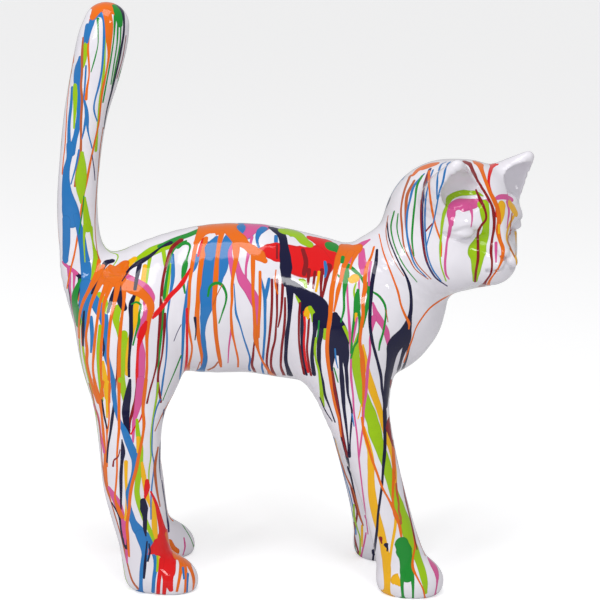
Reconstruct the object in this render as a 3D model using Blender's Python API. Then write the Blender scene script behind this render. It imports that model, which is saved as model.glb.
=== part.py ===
"""A standing cat, cast in resin as one piece, with its tail straight up and its head turned to its right.

The form is worked like clay: limbs are rounded tubes along a smooth line, muscles are balls pressed on
and blended in, and the ears and eyes are hollowed out. The clay is a distance field, whose surface is
then netted with faces, thinned and cut flat under the paws.
+X is the way the body faces, +Z is up, and the cat's right side is towards -Y.
"""
import bmesh
import bpy
import math
import numpy as np
from mathutils import Vector

# Driving sizes in metres and degrees
HEIGHT = 0.490
PAW_SPREAD = 0.086
TAIL_THICKNESS = 0.0335
BODY_WIDTH = 0.094
HAUNCH_WIDTH = 0.114
SHOULDER_WIDTH = 0.106
NECK_WIDTH = 0.086
HEAD_LENGTH = 0.125
HEAD_WIDTH = 0.100
HEAD_HEIGHT = 0.113
HEAD_TURN = 56
HEAD_TILT = 2.3
EAR_WALL = 0.0060
STRIDE = 0.009
SOLE_EDGE = 0.006
NET_STEP = 0.0027
FACES_WANTED = 9200

# How far inside a corner of the net is put when it has to be filled, as a share of the height
FAINT = -0.001

# The cat's pose is given in hundredths of its height
SHARE = HEIGHT / 100


def smooth_line(stations, steps):
    """Points along a Catmull-Rom line through the stations, whose columns are places and thicknesses."""
    rows = np.array(stations, float)
    rows = np.vstack([2 * rows[0] - rows[1], rows, 2 * rows[-1] - rows[-2]])
    line = []
    for before, start, end, after in zip(rows, rows[1:], rows[2:], rows[3:]):
        for t in np.arange(steps) / steps:
            bend = 2 * before - 5 * start + 4 * end - after
            curl = 3 * (start - end) + after - before
            line.append(start + 0.5 * t * (end - before + t * (bend + t * curl)))
    line.append(rows[-2])
    return np.array(line)


def melt(a, b, width):
    """The union of two fields, with a fillet of the given width where they meet."""
    overlap = np.maximum(width - np.abs(a - b), 0) / width
    return np.minimum(a, b) - overlap ** 3 * width / 6


def carve(a, b, width):
    """Field a with field b taken out of it, with a softened edge."""
    return -melt(-a, b, width)


def ball(points, centre, radii, axes):
    """The field of an ellipsoid whose own axes are the rows of axes."""
    local = (points - centre) @ axes.T
    near = np.linalg.norm(local / radii, axis=1)
    slope = np.linalg.norm(local / np.square(radii), axis=1)
    return near * (near - 1) / np.maximum(slope, 1e-9)


def limb(points, line):
    """The field of a tube along a line of rows x, y, z, depth radius, side radius.

    The section is an ellipse: the side radius is across the body, the depth radius fore and aft."""
    best = np.full(len(points), np.inf)
    squeeze_all = line[:, 3] / line[:, 4]
    for start, end, squeeze in zip(line, line[1:], squeeze_all):
        stretch = np.array([1, squeeze, 1])
        run = (end[:3] - start[:3]) * stretch
        offset = (points - start[:3]) * stretch
        t = np.clip(offset @ run / (run @ run), 0, 1)
        gap = np.linalg.norm(offset - t[:, None] * run, axis=1) - (start[3] + t * (end[3] - start[3]))
        best = np.minimum(best, gap)
    return best


def tipped(lean, side_lean=0):
    """Axes of a ball tipped by lean degrees nose down about Y, then by side_lean degrees about X."""
    a, b = math.radians(lean), math.radians(side_lean)
    nose = np.array([math.cos(a), 0, -math.sin(a)])
    side = np.array([math.sin(a) * math.sin(b), math.cos(b), math.cos(a) * math.sin(b)])
    return np.array([nose, side, np.cross(nose, side)])


# Sizes across the body, as hundredths of the height
paw_y = PAW_SPREAD / 2 / SHARE
body = BODY_WIDTH / 2 / SHARE
haunch = HAUNCH_WIDTH / 2 / SHARE
shoulder = SHOULDER_WIDTH / 2 / SHARE
neck = NECK_WIDTH / 2 / SHARE
tail = TAIL_THICKNESS / 2 / SHARE
stride = STRIDE / SHARE
sole_edge = SOLE_EDGE / SHARE

# The floor is pressed in a little too deep, so that the flat cut leaves a rounded edge to each sole
FLOOR_DIP = 0.25

# Rows of x, y, z, depth radius and side radius
TORSO = [
    (-30.0, 0, 47.7, 8.8, body * 0.82),
    (-24.6, 0, 48.9, 11.0, body * 0.95),
    (-16.4, 0, 49.8, 12.9, body),
    (-8.2, 0, 50.2, 13.1, body),
    (0.0, 0, 49.0, 12.9, body),
    (6.5, 0, 48.3, 12.2, body),
    (12.8, 0, 49.0, 12.2, body * 0.98),
    (15.9, 0, 53.2, 10.1, neck),
    (19.3, 0, 58.4, 7.8, neck * 0.98),
    (23.0, 0, 62.4, 8.0, neck * 0.98),
]
TAIL = [
    (-31.8, 0, 46.1, tail * 1.65, tail * 1.60),
    (-36.3, 0, 52.7, tail * 1.42, tail * 1.30),
    (-38.2, 0, 58.4, tail * 1.08, tail * 1.06),
    (-39.0, 0, 65.6, tail, tail),
    (-38.7, 0, 73.8, tail, tail),
    (-37.9, 0, 81.5, tail * 1.06, tail * 1.05),
    (-36.5, 0, 88.2, tail * 1.19, tail * 1.16),
    (-35.5, 0, 93.4, tail * 1.23, tail * 1.20),
    (-34.9, 0, 96.2, tail * 1.12, tail * 1.10),
]


def hind_leg(side):
    """One hind leg from hip to heel; its paw is a ball of its own."""
    return [
        (-29.6, side * haunch * 0.42, 46.1, 8.2, haunch * 0.50),
        (-29.0, side * haunch * 0.50, 39.5, 7.6, haunch * 0.46),
        (-29.1, side * haunch * 0.62, 33.3, 6.2, haunch * 0.36),
        (-29.0, side * (paw_y - 0.9), 28.3, 5.5, 4.3),
        (-28.7, side * (paw_y - 0.3), 24.0, 5.2, 4.0),
        (-28.2, side * paw_y, 18.8, 5.0, 3.8),
        (-27.0, side * paw_y, 13.5, 4.7, 3.8),
        (-25.9, side * paw_y, 8.5, 4.3, 3.9),
        (-25.0, side * paw_y, 3.0, 4.2, 4.0),
    ]


def fore_leg(side):
    """One foreleg from shoulder to wrist; the left one steps back a little."""
    back = stride if side > 0 else 0
    return [
        (6.9, side * shoulder * 0.38, 45.6, 8.6, shoulder * 0.54),
        (8.8, side * shoulder * 0.50, 38.9, 7.2, shoulder * 0.48),
        (10.3 - back * 0.1, side * shoulder * 0.64, 32.0, 5.6, shoulder * 0.38),
        (12.3 - back * 0.3, side * (paw_y - 0.6), 26.5, 4.6, 4.0),
        (14.1 - back * 0.6, side * (paw_y - 0.2), 21.4, 4.1, 3.7),
        (15.8 - back * 0.8, side * paw_y, 16.5, 3.9, 3.6),
        (17.7 - back * 0.9, side * paw_y, 10.7, 3.95, 3.7),
        (19.3 - back, side * paw_y, 5.6, 4.3, 4.0),
        (19.7 - back, side * paw_y, 2.5, 4.5, 4.2),
    ]


# The head has its own axes: along the face, towards its left ear, and up
turn = math.radians(HEAD_TURN)
tilt = math.radians(HEAD_TILT)
FACE_WAY = np.array([math.cos(turn), -math.sin(turn), 0])
LEFT_WAY = np.array([math.sin(turn) * math.cos(tilt), math.cos(turn) * math.cos(tilt), math.sin(tilt)])
HEAD_AXES = np.array([FACE_WAY, LEFT_WAY, np.cross(FACE_WAY, LEFT_WAY)])
HEAD_CENTRE = np.array([25.7, 0.4, 64.2])
head_half = np.array([HEAD_LENGTH, HEAD_WIDTH, HEAD_HEIGHT]) / 2 / SHARE
ear_wall = EAR_WALL / SHARE


def on_head(forward, side, up):
    """A place on the head, given in shares of its half length, half width and half height."""
    return HEAD_CENTRE + (np.array([forward, side, up]) * head_half) @ HEAD_AXES


def lump(points, centre, radii):
    """A ball on the head, with its centre and radii in shares of the head's half sizes."""
    return ball(points, on_head(*centre), np.array(radii) * head_half, HEAD_AXES)


def ear(points, field, side):
    """The head's field with one ear added: a leaning horn with a cup pressed into its front."""
    root = on_head(0.34, side * 0.50, 0.40)
    tip = on_head(0.76, side * 0.84, 1.135)
    inner = on_head(0.72, side * 0.20, 0.62)
    outer = on_head(0.52, side * 0.98, 0.44)
    length = np.linalg.norm(tip - root)
    rise = (tip - root) / length
    across = outer - inner
    across -= rise * (across @ rise)
    across /= np.linalg.norm(across)
    front = np.cross(across, rise) * side
    local = (points - root) @ np.array([front, across, rise]).T / length
    wall = ear_wall / length
    horn = [
        (-0.04, 0, 0.00, 0.43, 0.47),
        (-0.02, 0, 0.36, 0.34, 0.43),
        (0.00, 0, 0.70, 0.205, 0.28),
        (0.02, 0, 0.97, 0.095, 0.10),
    ]
    cup = [
        (0.38, -0.06, 0.28, 0.16, 0.40 - wall),
        (0.285, -0.02, 0.47, 0.28, 0.42 - wall),
        (0.205, 0, 0.70, 0.24, 0.30 - wall),
        (0.165, 0, 0.88, 0.09, 0.055),
    ]
    field = melt(field, limb(local, smooth_line(horn, 3)) * length, 0.19 * head_half[2])
    return carve(field, limb(local, smooth_line(cup, 3)) * length, 0.07 * head_half[2])


def face(points, field):
    """The head's field with forehead, brows, cheeks, muzzle, closed eyes and mouth."""
    knead = head_half[2]
    field = melt(field, lump(points, (0.34, 0, 0.42), (0.565, 0.725, 0.607)), 0.26 * knead)
    for side in (-1, 1):
        field = melt(field, lump(points, (0.36, side * 0.42, -0.385), (0.455, 0.49, 0.51)), 0.22 * knead)
        field = melt(field, lump(points, (0.64, side * 0.47, 0.20), (0.243, 0.372, 0.205)), 0.17 * knead)
    field = melt(field, lump(points, (0.83, 0, -0.41), (0.274, 0.461, 0.33)), 0.26 * knead)
    for side in (-1, 1):
        field = carve(field, lump(points, (1.01, side * 0.58, 0.03), (0.267, 0.353, 0.165)), 0.17 * knead)
        field = melt(field, lump(points, (0.67, side * 0.51, -0.05), (0.157, 0.250, 0.113)), 0.09 * knead)
    lip = 0.035 * knead
    mouth = [(*on_head(forward, side, up), lip, lip)
             for forward, side, up in ((1.00, -0.30, -0.40), (1.12, 0, -0.52), (1.00, 0.30, -0.40))]
    return carve(field, limb(points, smooth_line(mouth, 4)), 0.06 * knead)


def clay(points):
    """The field of the whole cat, negative inside, at points given in hundredths of the height."""
    field = limb(points, smooth_line(TORSO, 4))
    field = melt(field, limb(points, smooth_line(TAIL, 4)), 5.0)
    for side in (-1, 1):
        hip = ball(points, np.array([-28.9, side * haunch * 0.50, 43.1]),
                   np.array([8.6, haunch * 0.50, 11.5]), tipped(-8))
        field = melt(field, hip, 4.0)
        field = melt(field, limb(points, smooth_line(hind_leg(side), 4)), 5.0)
        blade = ball(points, np.array([8.4, side * shoulder * 0.48, 46.1]),
                     np.array([8.2, shoulder * 0.52, 11.0]), tipped(18))
        field = melt(field, blade, 4.0)
        field = melt(field, limb(points, smooth_line(fore_leg(side), 4)), 5.0)
        hind_paw = ball(points, np.array([-21.6, side * paw_y, 2.2]), np.array([5.5, 4.6, 3.9]), tipped(15))
        field = melt(field, hind_paw, 3.0)
        back = stride if side > 0 else 0
        fore_paw = ball(points, np.array([22.0 - back, side * paw_y, 2.4]), np.array([5.2, 4.8, 4.0]),
                        tipped(10))
        field = melt(field, fore_paw, 3.0)
    skull = ball(points, HEAD_CENTRE, head_half, HEAD_AXES)
    field = melt(field, skull, 4.0)
    field = face(points, field)
    for side in (-1, 1):
        field = ear(points, field, side)
    return carve(field, points[:, 2] + FLOOR_DIP, sole_edge)


def sample(shape, low, high, step, leap=4):
    """The field at the corners of a grid of cubes, worked out only near the surface.

    A coarse grid, with one corner for every few of the fine one, says which corners lie near it."""
    counts = (np.ceil((high - low) / (step * leap)).astype(int) + 1) * leap
    coarse = np.indices(counts // leap + 1).reshape(3, -1).T
    rough = shape(low + coarse * step * leap).reshape(counts // leap + 1)
    nearest = [(np.arange(count) + leap // 2) // leap for count in counts]
    field = rough[np.ix_(*nearest)]
    close = np.abs(field) < 2 * step * leap
    places = low + np.argwhere(close) * step
    blocks = np.array_split(places, len(places) // 40000 + 1)
    field[close] = np.concatenate([shape(block) for block in blocks])
    return field


def settled(field):
    """The field with no corners left where two parts of the solid would touch along one edge only."""
    spoilt = True
    while spoilt:
        spoilt = False
        for axis in range(3):
            sheet = np.moveaxis(field, axis, 0)
            corners = [sheet[:, :-1, :-1], sheet[:, 1:, :-1], sheet[:, 1:, 1:], sheet[:, :-1, 1:]]
            solid = [corner < 0 for corner in corners]
            crossed = (solid[0] == solid[2]) & (solid[1] == solid[3]) & (solid[0] != solid[1])
            for corner in corners:
                corner[crossed] = np.minimum(corner[crossed], FAINT)
            spoilt = spoilt or crossed.any()
    return field


def surface_net(field, low, step):
    """Points and quads of the surface where the field is zero: one point to a mixed cube."""
    inside = field < 0
    cubes = np.array(field.shape) - 1
    shifts = np.indices((2, 2, 2)).reshape(3, -1).T

    def shifted(array, shift):
        window = tuple(slice(s, s + n) for s, n in zip(shift, cubes))
        return array[window]

    full = sum(shifted(inside, shift).astype(int) for shift in shifts)
    mixed = (full > 0) & (full < 8)
    number = np.full(mixed.shape, -1)
    number[mixed] = np.arange(mixed.sum())
    total = np.zeros((mixed.sum(), 3))
    hits = np.zeros(mixed.sum())
    for shift in shifts:
        for axis in range(3):
            if shift[axis]:
                continue
            other = shift + np.eye(3, dtype=int)[axis]
            start = shifted(field, shift)[mixed]
            end = shifted(field, other)[mixed]
            crossed = (start < 0) != (end < 0)
            place = np.repeat(shift[None].astype(float), len(start), axis=0)
            place[:, axis] = np.where(crossed, start / np.where(crossed, start - end, 1), 0)
            total += place * crossed[:, None]
            hits += crossed
    points = low + step * (np.argwhere(mixed) + total / hits[:, None])
    quads = []
    for axis in range(3):
        u, v = (axis + 1) % 3, (axis + 2) % 3
        first = [slice(1, -1)] * 3
        first[axis] = slice(0, -1)
        second = list(first)
        second[axis] = slice(1, None)
        start = inside[tuple(first)]
        end = inside[tuple(second)]
        node = np.argwhere(start != end) + [int(a != axis) for a in range(3)]
        step_u = np.eye(3, dtype=int)[u]
        step_v = np.eye(3, dtype=int)[v]
        ring = [number[tuple((node - back).T)] for back in (0 * step_u, step_u, step_u + step_v, step_v)]
        quad = np.stack(ring, axis=1)
        leaving = start[start != end]
        quad[~leaving] = quad[~leaving][:, ::-1]
        quads.append(quad)
    return points, np.vstack(quads)


def room():
    """The low and high corners of the space the clay fills, with some air around it."""
    width = max(HEAD_LENGTH, HAUNCH_WIDTH, SHOULDER_WIDTH, PAW_SPREAD) / SHARE
    low = np.array([-38 - 3 * tail, -width * 0.5 - 3, -2.0])
    high = np.array([26 + head_half[0] + 5, width * 0.5 + 3, 98 + tail])
    return low, high


def quad_mesh(name, points, quads):
    mesh = bpy.data.meshes.new(name)
    mesh.from_pydata(points.tolist(), [], quads.tolist())
    mesh.update()
    return mesh


def build_cat():
    """Net the clay, thin the net to the faces wanted and cut the paws flat."""
    step = NET_STEP / SHARE
    low, high = room()
    field = settled(sample(clay, low, high, step))
    places, quads = surface_net(field, low, step)
    mesh = quad_mesh("cat", places * SHARE, quads)
    cat = bpy.data.objects.new("cat", mesh)
    bpy.context.collection.objects.link(cat)
    thin = cat.modifiers.new("thin", "DECIMATE")
    thin.ratio = FACES_WANTED / (2 * len(quads))
    thin.use_collapse_triangulate = True
    depsgraph = bpy.context.evaluated_depsgraph_get()
    thinned = bpy.data.meshes.new_from_object(cat.evaluated_get(depsgraph))
    cat.modifiers.clear()
    shape = bmesh.new()
    shape.from_mesh(thinned)
    geometry = shape.verts[:] + shape.edges[:] + shape.faces[:]
    cut = bmesh.ops.bisect_plane(shape, geom=geometry, plane_co=(0, 0, 0), plane_no=(0, 0, -1),
                                 clear_outer=True)
    rims = [item for item in cut["geom_cut"] if isinstance(item, bmesh.types.BMEdge)]
    bmesh.ops.edgeloop_fill(shape, edges=rims)
    xs = [vertex.co.x for vertex in shape.verts]
    ys = [vertex.co.y for vertex in shape.verts]
    middle = Vector(((min(xs) + max(xs)) / 2, (min(ys) + max(ys)) / 2, 0))
    bmesh.ops.translate(shape, vec=-middle, verts=shape.verts[:])
    bmesh.ops.recalc_face_normals(shape, faces=shape.faces[:])
    shape.to_mesh(mesh)
    shape.free()
    mesh.shade_smooth()
    return cat


def resin():
    """Glossy white cast resin."""
    material = bpy.data.materials.new("white_resin")
    material.use_nodes = True
    shader = material.node_tree.nodes["Principled BSDF"]
    shader.inputs["Base Color"].default_value = (0.80, 0.79, 0.82, 1)
    shader.inputs["Roughness"].default_value = 0.12
    shader.inputs["Metallic"].default_value = 0.0
    return material


for old in list(bpy.data.objects):
    bpy.data.objects.remove(old)
build_cat().data.materials.append(resin())
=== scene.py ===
"""A standing cat cast in white resin, covered with poured and dripped paint under a clear gloss coat.

The camera comes first, since the paint on the side that the picture shows is laid by where it is seen.
Then come the casting, the paint that runs over it, its gloss coat, and the studio it is photographed in.
"""
import bmesh
import bpy
import math
import numpy as np
from mathutils import Matrix, Vector
from mathutils.bvhtree import BVHTree


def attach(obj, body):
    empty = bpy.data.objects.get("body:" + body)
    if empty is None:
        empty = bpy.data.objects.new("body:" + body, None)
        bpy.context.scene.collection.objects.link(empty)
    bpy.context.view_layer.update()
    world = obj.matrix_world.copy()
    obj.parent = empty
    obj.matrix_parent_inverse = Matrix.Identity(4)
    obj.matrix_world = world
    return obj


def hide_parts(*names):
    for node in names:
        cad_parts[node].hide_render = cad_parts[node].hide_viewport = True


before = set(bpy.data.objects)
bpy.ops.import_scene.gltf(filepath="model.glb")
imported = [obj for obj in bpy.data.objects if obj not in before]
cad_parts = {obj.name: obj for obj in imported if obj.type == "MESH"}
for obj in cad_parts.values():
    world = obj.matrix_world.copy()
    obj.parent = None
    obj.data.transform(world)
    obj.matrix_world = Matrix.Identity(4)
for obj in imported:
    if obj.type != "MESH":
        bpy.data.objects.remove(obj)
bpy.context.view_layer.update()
for item in bpy.context.selected_objects:
    item.select_set(False)


# The camera: a long lens a metre and a half away, square on to the cat's right side but for a few
# degrees, a little above its back, and held a touch out of level. The picture is 600 by 600.
PICTURE = 600
CAMERA_AIM = Vector((0.0088, 0.0001, 0.2456))
CAMERA_DISTANCE = 1.528
CAMERA_SWING = math.radians(-6)
CAMERA_RISE = math.radians(12.5)
CAMERA_ROLL = math.radians(3.0)
CAMERA_LENS = 107.1
SENSOR = 36.0


def camera_ways():
    """The camera's right, up and backward directions."""
    back = Vector((math.sin(CAMERA_SWING) * math.cos(CAMERA_RISE),
                   -math.cos(CAMERA_SWING) * math.cos(CAMERA_RISE), math.sin(CAMERA_RISE)))
    level = Vector((0, 0, 1)).cross(back).normalized()
    upright = back.cross(level)
    right = level * math.cos(CAMERA_ROLL) + upright * math.sin(CAMERA_ROLL)
    return right, back.cross(right), back


RIGHT, UP, BACK = camera_ways()
camera_data = bpy.data.cameras.new("camera")
camera_data.sensor_width = SENSOR
camera_data.lens = CAMERA_LENS
camera = bpy.data.objects.new("camera", camera_data)
bpy.context.collection.objects.link(camera)
camera.matrix_world = Matrix.LocRotScale(CAMERA_AIM + BACK * CAMERA_DISTANCE,
                                         Matrix((RIGHT, UP, BACK)).transposed(), None)
bpy.context.scene.camera = camera


# The casting: one piece of white resin, modelled in clay and cast, standing on its four paws. It repeats
# the solid's clay, limb by limb in hundredths of the height, and adds what is too fine for the solid:
# the brows, the closed lids, the nose, the lips and the hollows of the ears.
HEIGHT = 0.490
PAW_SPREAD = 0.086
TAIL_THICKNESS = 0.0335
BODY_WIDTH = 0.094
HAUNCH_WIDTH = 0.114
SHOULDER_WIDTH = 0.106
NECK_WIDTH = 0.086
HEAD_LENGTH = 0.125
HEAD_WIDTH = 0.100
HEAD_HEIGHT = 0.113
HEAD_TURN = 56
HEAD_TILT = 2.3
EAR_WALL = 0.0045
STRIDE = 0.009
SOLE_EDGE = 0.006
NET_STEP = 0.0025
MIDDLE_X = -0.00876

# A hundredth of the height, a field just inside the clay, and how many points are worked out at once
SHARE = HEIGHT / 100
FAINT = -0.001
AT_ONCE = 40000


def smooth_line(stations, steps):
    """Points along a Catmull-Rom line through the stations, whose columns are places and thicknesses."""
    rows = np.array(stations, float)
    rows = np.vstack([2 * rows[0] - rows[1], rows, 2 * rows[-1] - rows[-2]])
    line = []
    for before, start, end, after in zip(rows, rows[1:], rows[2:], rows[3:]):
        for t in np.arange(steps) / steps:
            bend = 2 * before - 5 * start + 4 * end - after
            curl = 3 * (start - end) + after - before
            line.append(start + 0.5 * t * (end - before + t * (bend + t * curl)))
    line.append(rows[-2])
    return np.array(line)


def melt(a, b, width):
    """The union of two fields, with a fillet of the given width where they meet."""
    overlap = np.maximum(width - np.abs(a - b), 0) / width
    return np.minimum(a, b) - overlap ** 3 * width / 6


def carve(a, b, width):
    """Field a with field b taken out of it, with a softened edge."""
    return -melt(-a, b, width)


def ball(points, centre, radii, axes):
    """The field of an ellipsoid whose own axes are the rows of axes."""
    local = (points - centre) @ axes.T
    near = np.linalg.norm(local / radii, axis=1)
    slope = np.linalg.norm(local / np.square(radii), axis=1)
    return near * (near - 1) / np.maximum(slope, 1e-9)


def limb(points, line):
    """The field of a tube along a line of rows x, y, z, depth radius, side radius.

    The section is an ellipse: the side radius is across the body, the depth radius fore and aft."""
    best = np.full(len(points), np.inf)
    squeeze_all = line[:, 3] / line[:, 4]
    for start, end, squeeze in zip(line, line[1:], squeeze_all):
        stretch = np.array([1, squeeze, 1])
        run = (end[:3] - start[:3]) * stretch
        offset = (points - start[:3]) * stretch
        t = np.clip(offset @ run / (run @ run), 0, 1)
        gap = np.linalg.norm(offset - t[:, None] * run, axis=1) - (start[3] + t * (end[3] - start[3]))
        best = np.minimum(best, gap)
    return best


def tipped(lean):
    """Axes of a ball tipped by lean degrees nose down about Y."""
    lean = math.radians(lean)
    nose = np.array([math.cos(lean), 0, -math.sin(lean)])
    side = np.array([0.0, 1.0, 0.0])
    return np.array([nose, side, np.cross(nose, side)])


# Sizes across the body, as hundredths of the height
paw_y = PAW_SPREAD / 2 / SHARE
body = BODY_WIDTH / 2 / SHARE
haunch = HAUNCH_WIDTH / 2 / SHARE
shoulder = SHOULDER_WIDTH / 2 / SHARE
neck = NECK_WIDTH / 2 / SHARE
tail = TAIL_THICKNESS / 2 / SHARE
stride = STRIDE / SHARE
sole_edge = SOLE_EDGE / SHARE

# The floor is pressed in a little too deep, so that the flat cut leaves a rounded edge to each sole
FLOOR_DIP = 0.25

# Rows of x, y, z, depth radius and side radius
TORSO = [
    (-30.0, 0, 47.7, 8.8, body * 0.82),
    (-24.6, 0, 48.9, 11.0, body * 0.95),
    (-16.4, 0, 49.8, 12.9, body),
    (-8.2, 0, 50.2, 13.1, body),
    (0.0, 0, 49.0, 12.9, body),
    (6.5, 0, 48.3, 12.2, body),
    (12.8, 0, 49.0, 12.2, body * 0.98),
    (15.9, 0, 53.2, 10.1, neck),
    (19.3, 0, 58.4, 7.8, neck * 0.98),
    (23.0, 0, 62.4, 8.0, neck * 0.98),
]
TAIL = [
    (-31.8, 0, 46.1, tail * 1.65, tail * 1.60),
    (-36.3, 0, 52.7, tail * 1.42, tail * 1.30),
    (-38.2, 0, 58.4, tail * 1.08, tail * 1.06),
    (-39.0, 0, 65.6, tail, tail),
    (-38.7, 0, 73.8, tail, tail),
    (-37.9, 0, 81.5, tail * 1.06, tail * 1.05),
    (-36.5, 0, 88.2, tail * 1.19, tail * 1.16),
    (-35.5, 0, 93.4, tail * 1.23, tail * 1.20),
    (-34.9, 0, 96.2, tail * 1.12, tail * 1.10),
]


def hind_leg(side):
    """One hind leg from hip to heel; its paw is a ball of its own."""
    return [
        (-29.6, side * haunch * 0.42, 46.1, 8.2, haunch * 0.50),
        (-29.0, side * haunch * 0.50, 39.5, 7.6, haunch * 0.46),
        (-29.1, side * haunch * 0.62, 33.3, 6.2, haunch * 0.36),
        (-29.0, side * (paw_y - 0.9), 28.3, 5.5, 4.3),
        (-28.7, side * (paw_y - 0.3), 24.0, 5.2, 4.0),
        (-28.2, side * paw_y, 18.8, 5.0, 3.8),
        (-27.0, side * paw_y, 13.5, 4.7, 3.8),
        (-25.9, side * paw_y, 8.5, 4.3, 3.9),
        (-25.0, side * paw_y, 3.0, 4.2, 4.0),
    ]


def fore_leg(side):
    """One foreleg from shoulder to wrist; the left one steps back a little."""
    back = stride if side > 0 else 0
    return [
        (6.9, side * shoulder * 0.38, 45.6, 8.6, shoulder * 0.54),
        (8.8, side * shoulder * 0.50, 38.9, 7.2, shoulder * 0.48),
        (10.3 - back * 0.1, side * shoulder * 0.64, 32.0, 5.6, shoulder * 0.38),
        (12.3 - back * 0.3, side * (paw_y - 0.6), 26.5, 4.6, 4.0),
        (14.1 - back * 0.6, side * (paw_y - 0.2), 21.4, 4.1, 3.7),
        (15.8 - back * 0.8, side * paw_y, 16.5, 3.9, 3.6),
        (17.7 - back * 0.9, side * paw_y, 10.7, 3.95, 3.7),
        (19.3 - back, side * paw_y, 5.6, 4.3, 4.0),
        (19.7 - back, side * paw_y, 2.5, 4.5, 4.2),
    ]


# The head has its own axes: along the face, towards its left ear, and up
turn = math.radians(HEAD_TURN)
tilt = math.radians(HEAD_TILT)
FACE_WAY = np.array([math.cos(turn), -math.sin(turn), 0])
LEFT_WAY = np.array([math.sin(turn) * math.cos(tilt), math.cos(turn) * math.cos(tilt), math.sin(tilt)])
HEAD_AXES = np.array([FACE_WAY, LEFT_WAY, np.cross(FACE_WAY, LEFT_WAY)])
HEAD_CENTRE = np.array([25.7, 0.4, 64.2])
head_half = np.array([HEAD_LENGTH, HEAD_WIDTH, HEAD_HEIGHT]) / 2 / SHARE
ear_wall = EAR_WALL / SHARE


def on_head(forward, side, up):
    """A place on the head, given in shares of its half length, half width and half height."""
    return HEAD_CENTRE + (np.array([forward, side, up]) * head_half) @ HEAD_AXES


def lump(points, centre, radii):
    """A ball on the head, with its centre and radii in shares of the head's half sizes."""
    return ball(points, on_head(*centre), np.array(radii) * head_half, HEAD_AXES)


def ear(points, field, side):
    """The head's field with one ear added: a leaning horn with a cup pressed into its front."""
    root = on_head(0.34, side * 0.50, 0.40)
    tip = on_head(0.76, side * 0.84, 1.135)
    inner = on_head(0.72, side * 0.20, 0.62)
    outer = on_head(0.52, side * 0.98, 0.44)
    length = np.linalg.norm(tip - root)
    rise = (tip - root) / length
    across = outer - inner
    across -= rise * (across @ rise)
    across /= np.linalg.norm(across)
    front = np.cross(across, rise) * side
    local = (points - root) @ np.array([front, across, rise]).T / length
    wall = ear_wall / length
    horn = [
        (-0.04, 0, 0.00, 0.43, 0.47),
        (-0.02, 0, 0.36, 0.34, 0.43),
        (0.00, 0, 0.70, 0.205, 0.28),
        (0.02, 0, 0.97, 0.095, 0.10),
    ]
    cup = [
        (0.31, -0.10, 0.50, 0.27, 0.42 - wall),
        (0.22, -0.05, 0.56, 0.31, 0.40 - wall),
        (0.17, -0.02, 0.71, 0.23, 0.26 - wall),
        (0.145, -0.01, 0.86, 0.085, 0.05),
    ]
    field = melt(field, limb(local, smooth_line(horn, 3)) * length, 0.19 * head_half[2])
    return carve(field, limb(local, smooth_line(cup, 3)) * length, 0.03 * head_half[2])


def crease(points, field, line, side, width, depth):
    """The field with a narrow line pressed into the front of the head. The line's places are given
    aside and up, in shares of the half sizes; width and depth are in millimetres."""
    local = (points - HEAD_CENTRE) @ HEAD_AXES.T
    forward = np.clip(local[:, 0] / head_half[0] / 0.3 - 1, 0, 1)
    local[:, 0] = 0
    line = [(0, side * aside * head_half[1], up * head_half[2], 0.01, 0.01) for aside, up in line]
    away = np.maximum(limb(local, smooth_line(line, 4)), 0) * SHARE * 1000
    return field + depth / 1000 / SHARE * forward * np.exp(-(away / width) ** 2)


def face(points, field):
    """The head's field with forehead, cheeks, eyes' hollows and muzzle."""
    knead = head_half[2]
    field = melt(field, lump(points, (0.34, 0, 0.42), (0.565, 0.725, 0.607)), 0.26 * knead)
    for side in (-1, 1):
        field = melt(field, lump(points, (0.36, side * 0.42, -0.385), (0.455, 0.49, 0.51)), 0.22 * knead)
        field = melt(field, lump(points, (0.62, side * 0.46, 0.22), (0.243, 0.350, 0.215)), 0.24 * knead)
    field = melt(field, lump(points, (0.83, 0, -0.41), (0.274, 0.461, 0.33)), 0.26 * knead)
    for side in (-1, 1):
        field = carve(field, lump(points, (1.02, side * 0.54, 0.01), (0.245, 0.310, 0.130)), 0.17 * knead)
    return field


def features(points, field):
    """The finer face over the ears' roots: brows, closed eyes, nose, lips and mouth."""
    knead = head_half[2]
    for side in (-1, 1):
        field = melt(field, lump(points, (0.57, side * 0.43, 0.42), (0.235, 0.345, 0.160)), 0.10 * knead)
        field = melt(field, lump(points, (0.705, side * 0.55, 0.085), (0.150, 0.190, 0.080)), 0.05 * knead)
        field = melt(field, lump(points, (0.97, side * 0.15, -0.37), (0.165, 0.175, 0.130)), 0.08 * knead)
    bridge = [(*on_head(forward, 0, up), 0.095 * knead, 0.095 * knead)
              for forward, up in ((0.84, 0.30), (0.93, 0.05), (0.975, -0.17))]
    field = melt(field, limb(points, smooth_line(bridge, 4)), 0.12 * knead)
    field = melt(field, lump(points, (1.01, 0, -0.215), (0.090, 0.120, 0.070)), 0.05 * knead)
    for side in (-1, 1):
        lid = [(0.82, 0.060), (0.72, 0.005), (0.58, -0.020), (0.47, 0.025), (0.40, 0.095)]
        field = crease(points, field, lid, side, 1.6, 2.4)
        fold = [(0.77, 0.115), (0.66, 0.185), (0.53, 0.180), (0.43, 0.120)]
        field = crease(points, field, fold, side, 1.2, 1.3)
        mouth = [(0, -0.29), (0.02, -0.36), (0.10, -0.43), (0.20, -0.475), (0.32, -0.455)]
        field = crease(points, field, mouth, side, 1.4, 2.8)
        wing = [(0.05, -0.285), (0.11, -0.25), (0.125, -0.19)]
        field = crease(points, field, wing, side, 1.1, 1.4)
    return field


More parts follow.
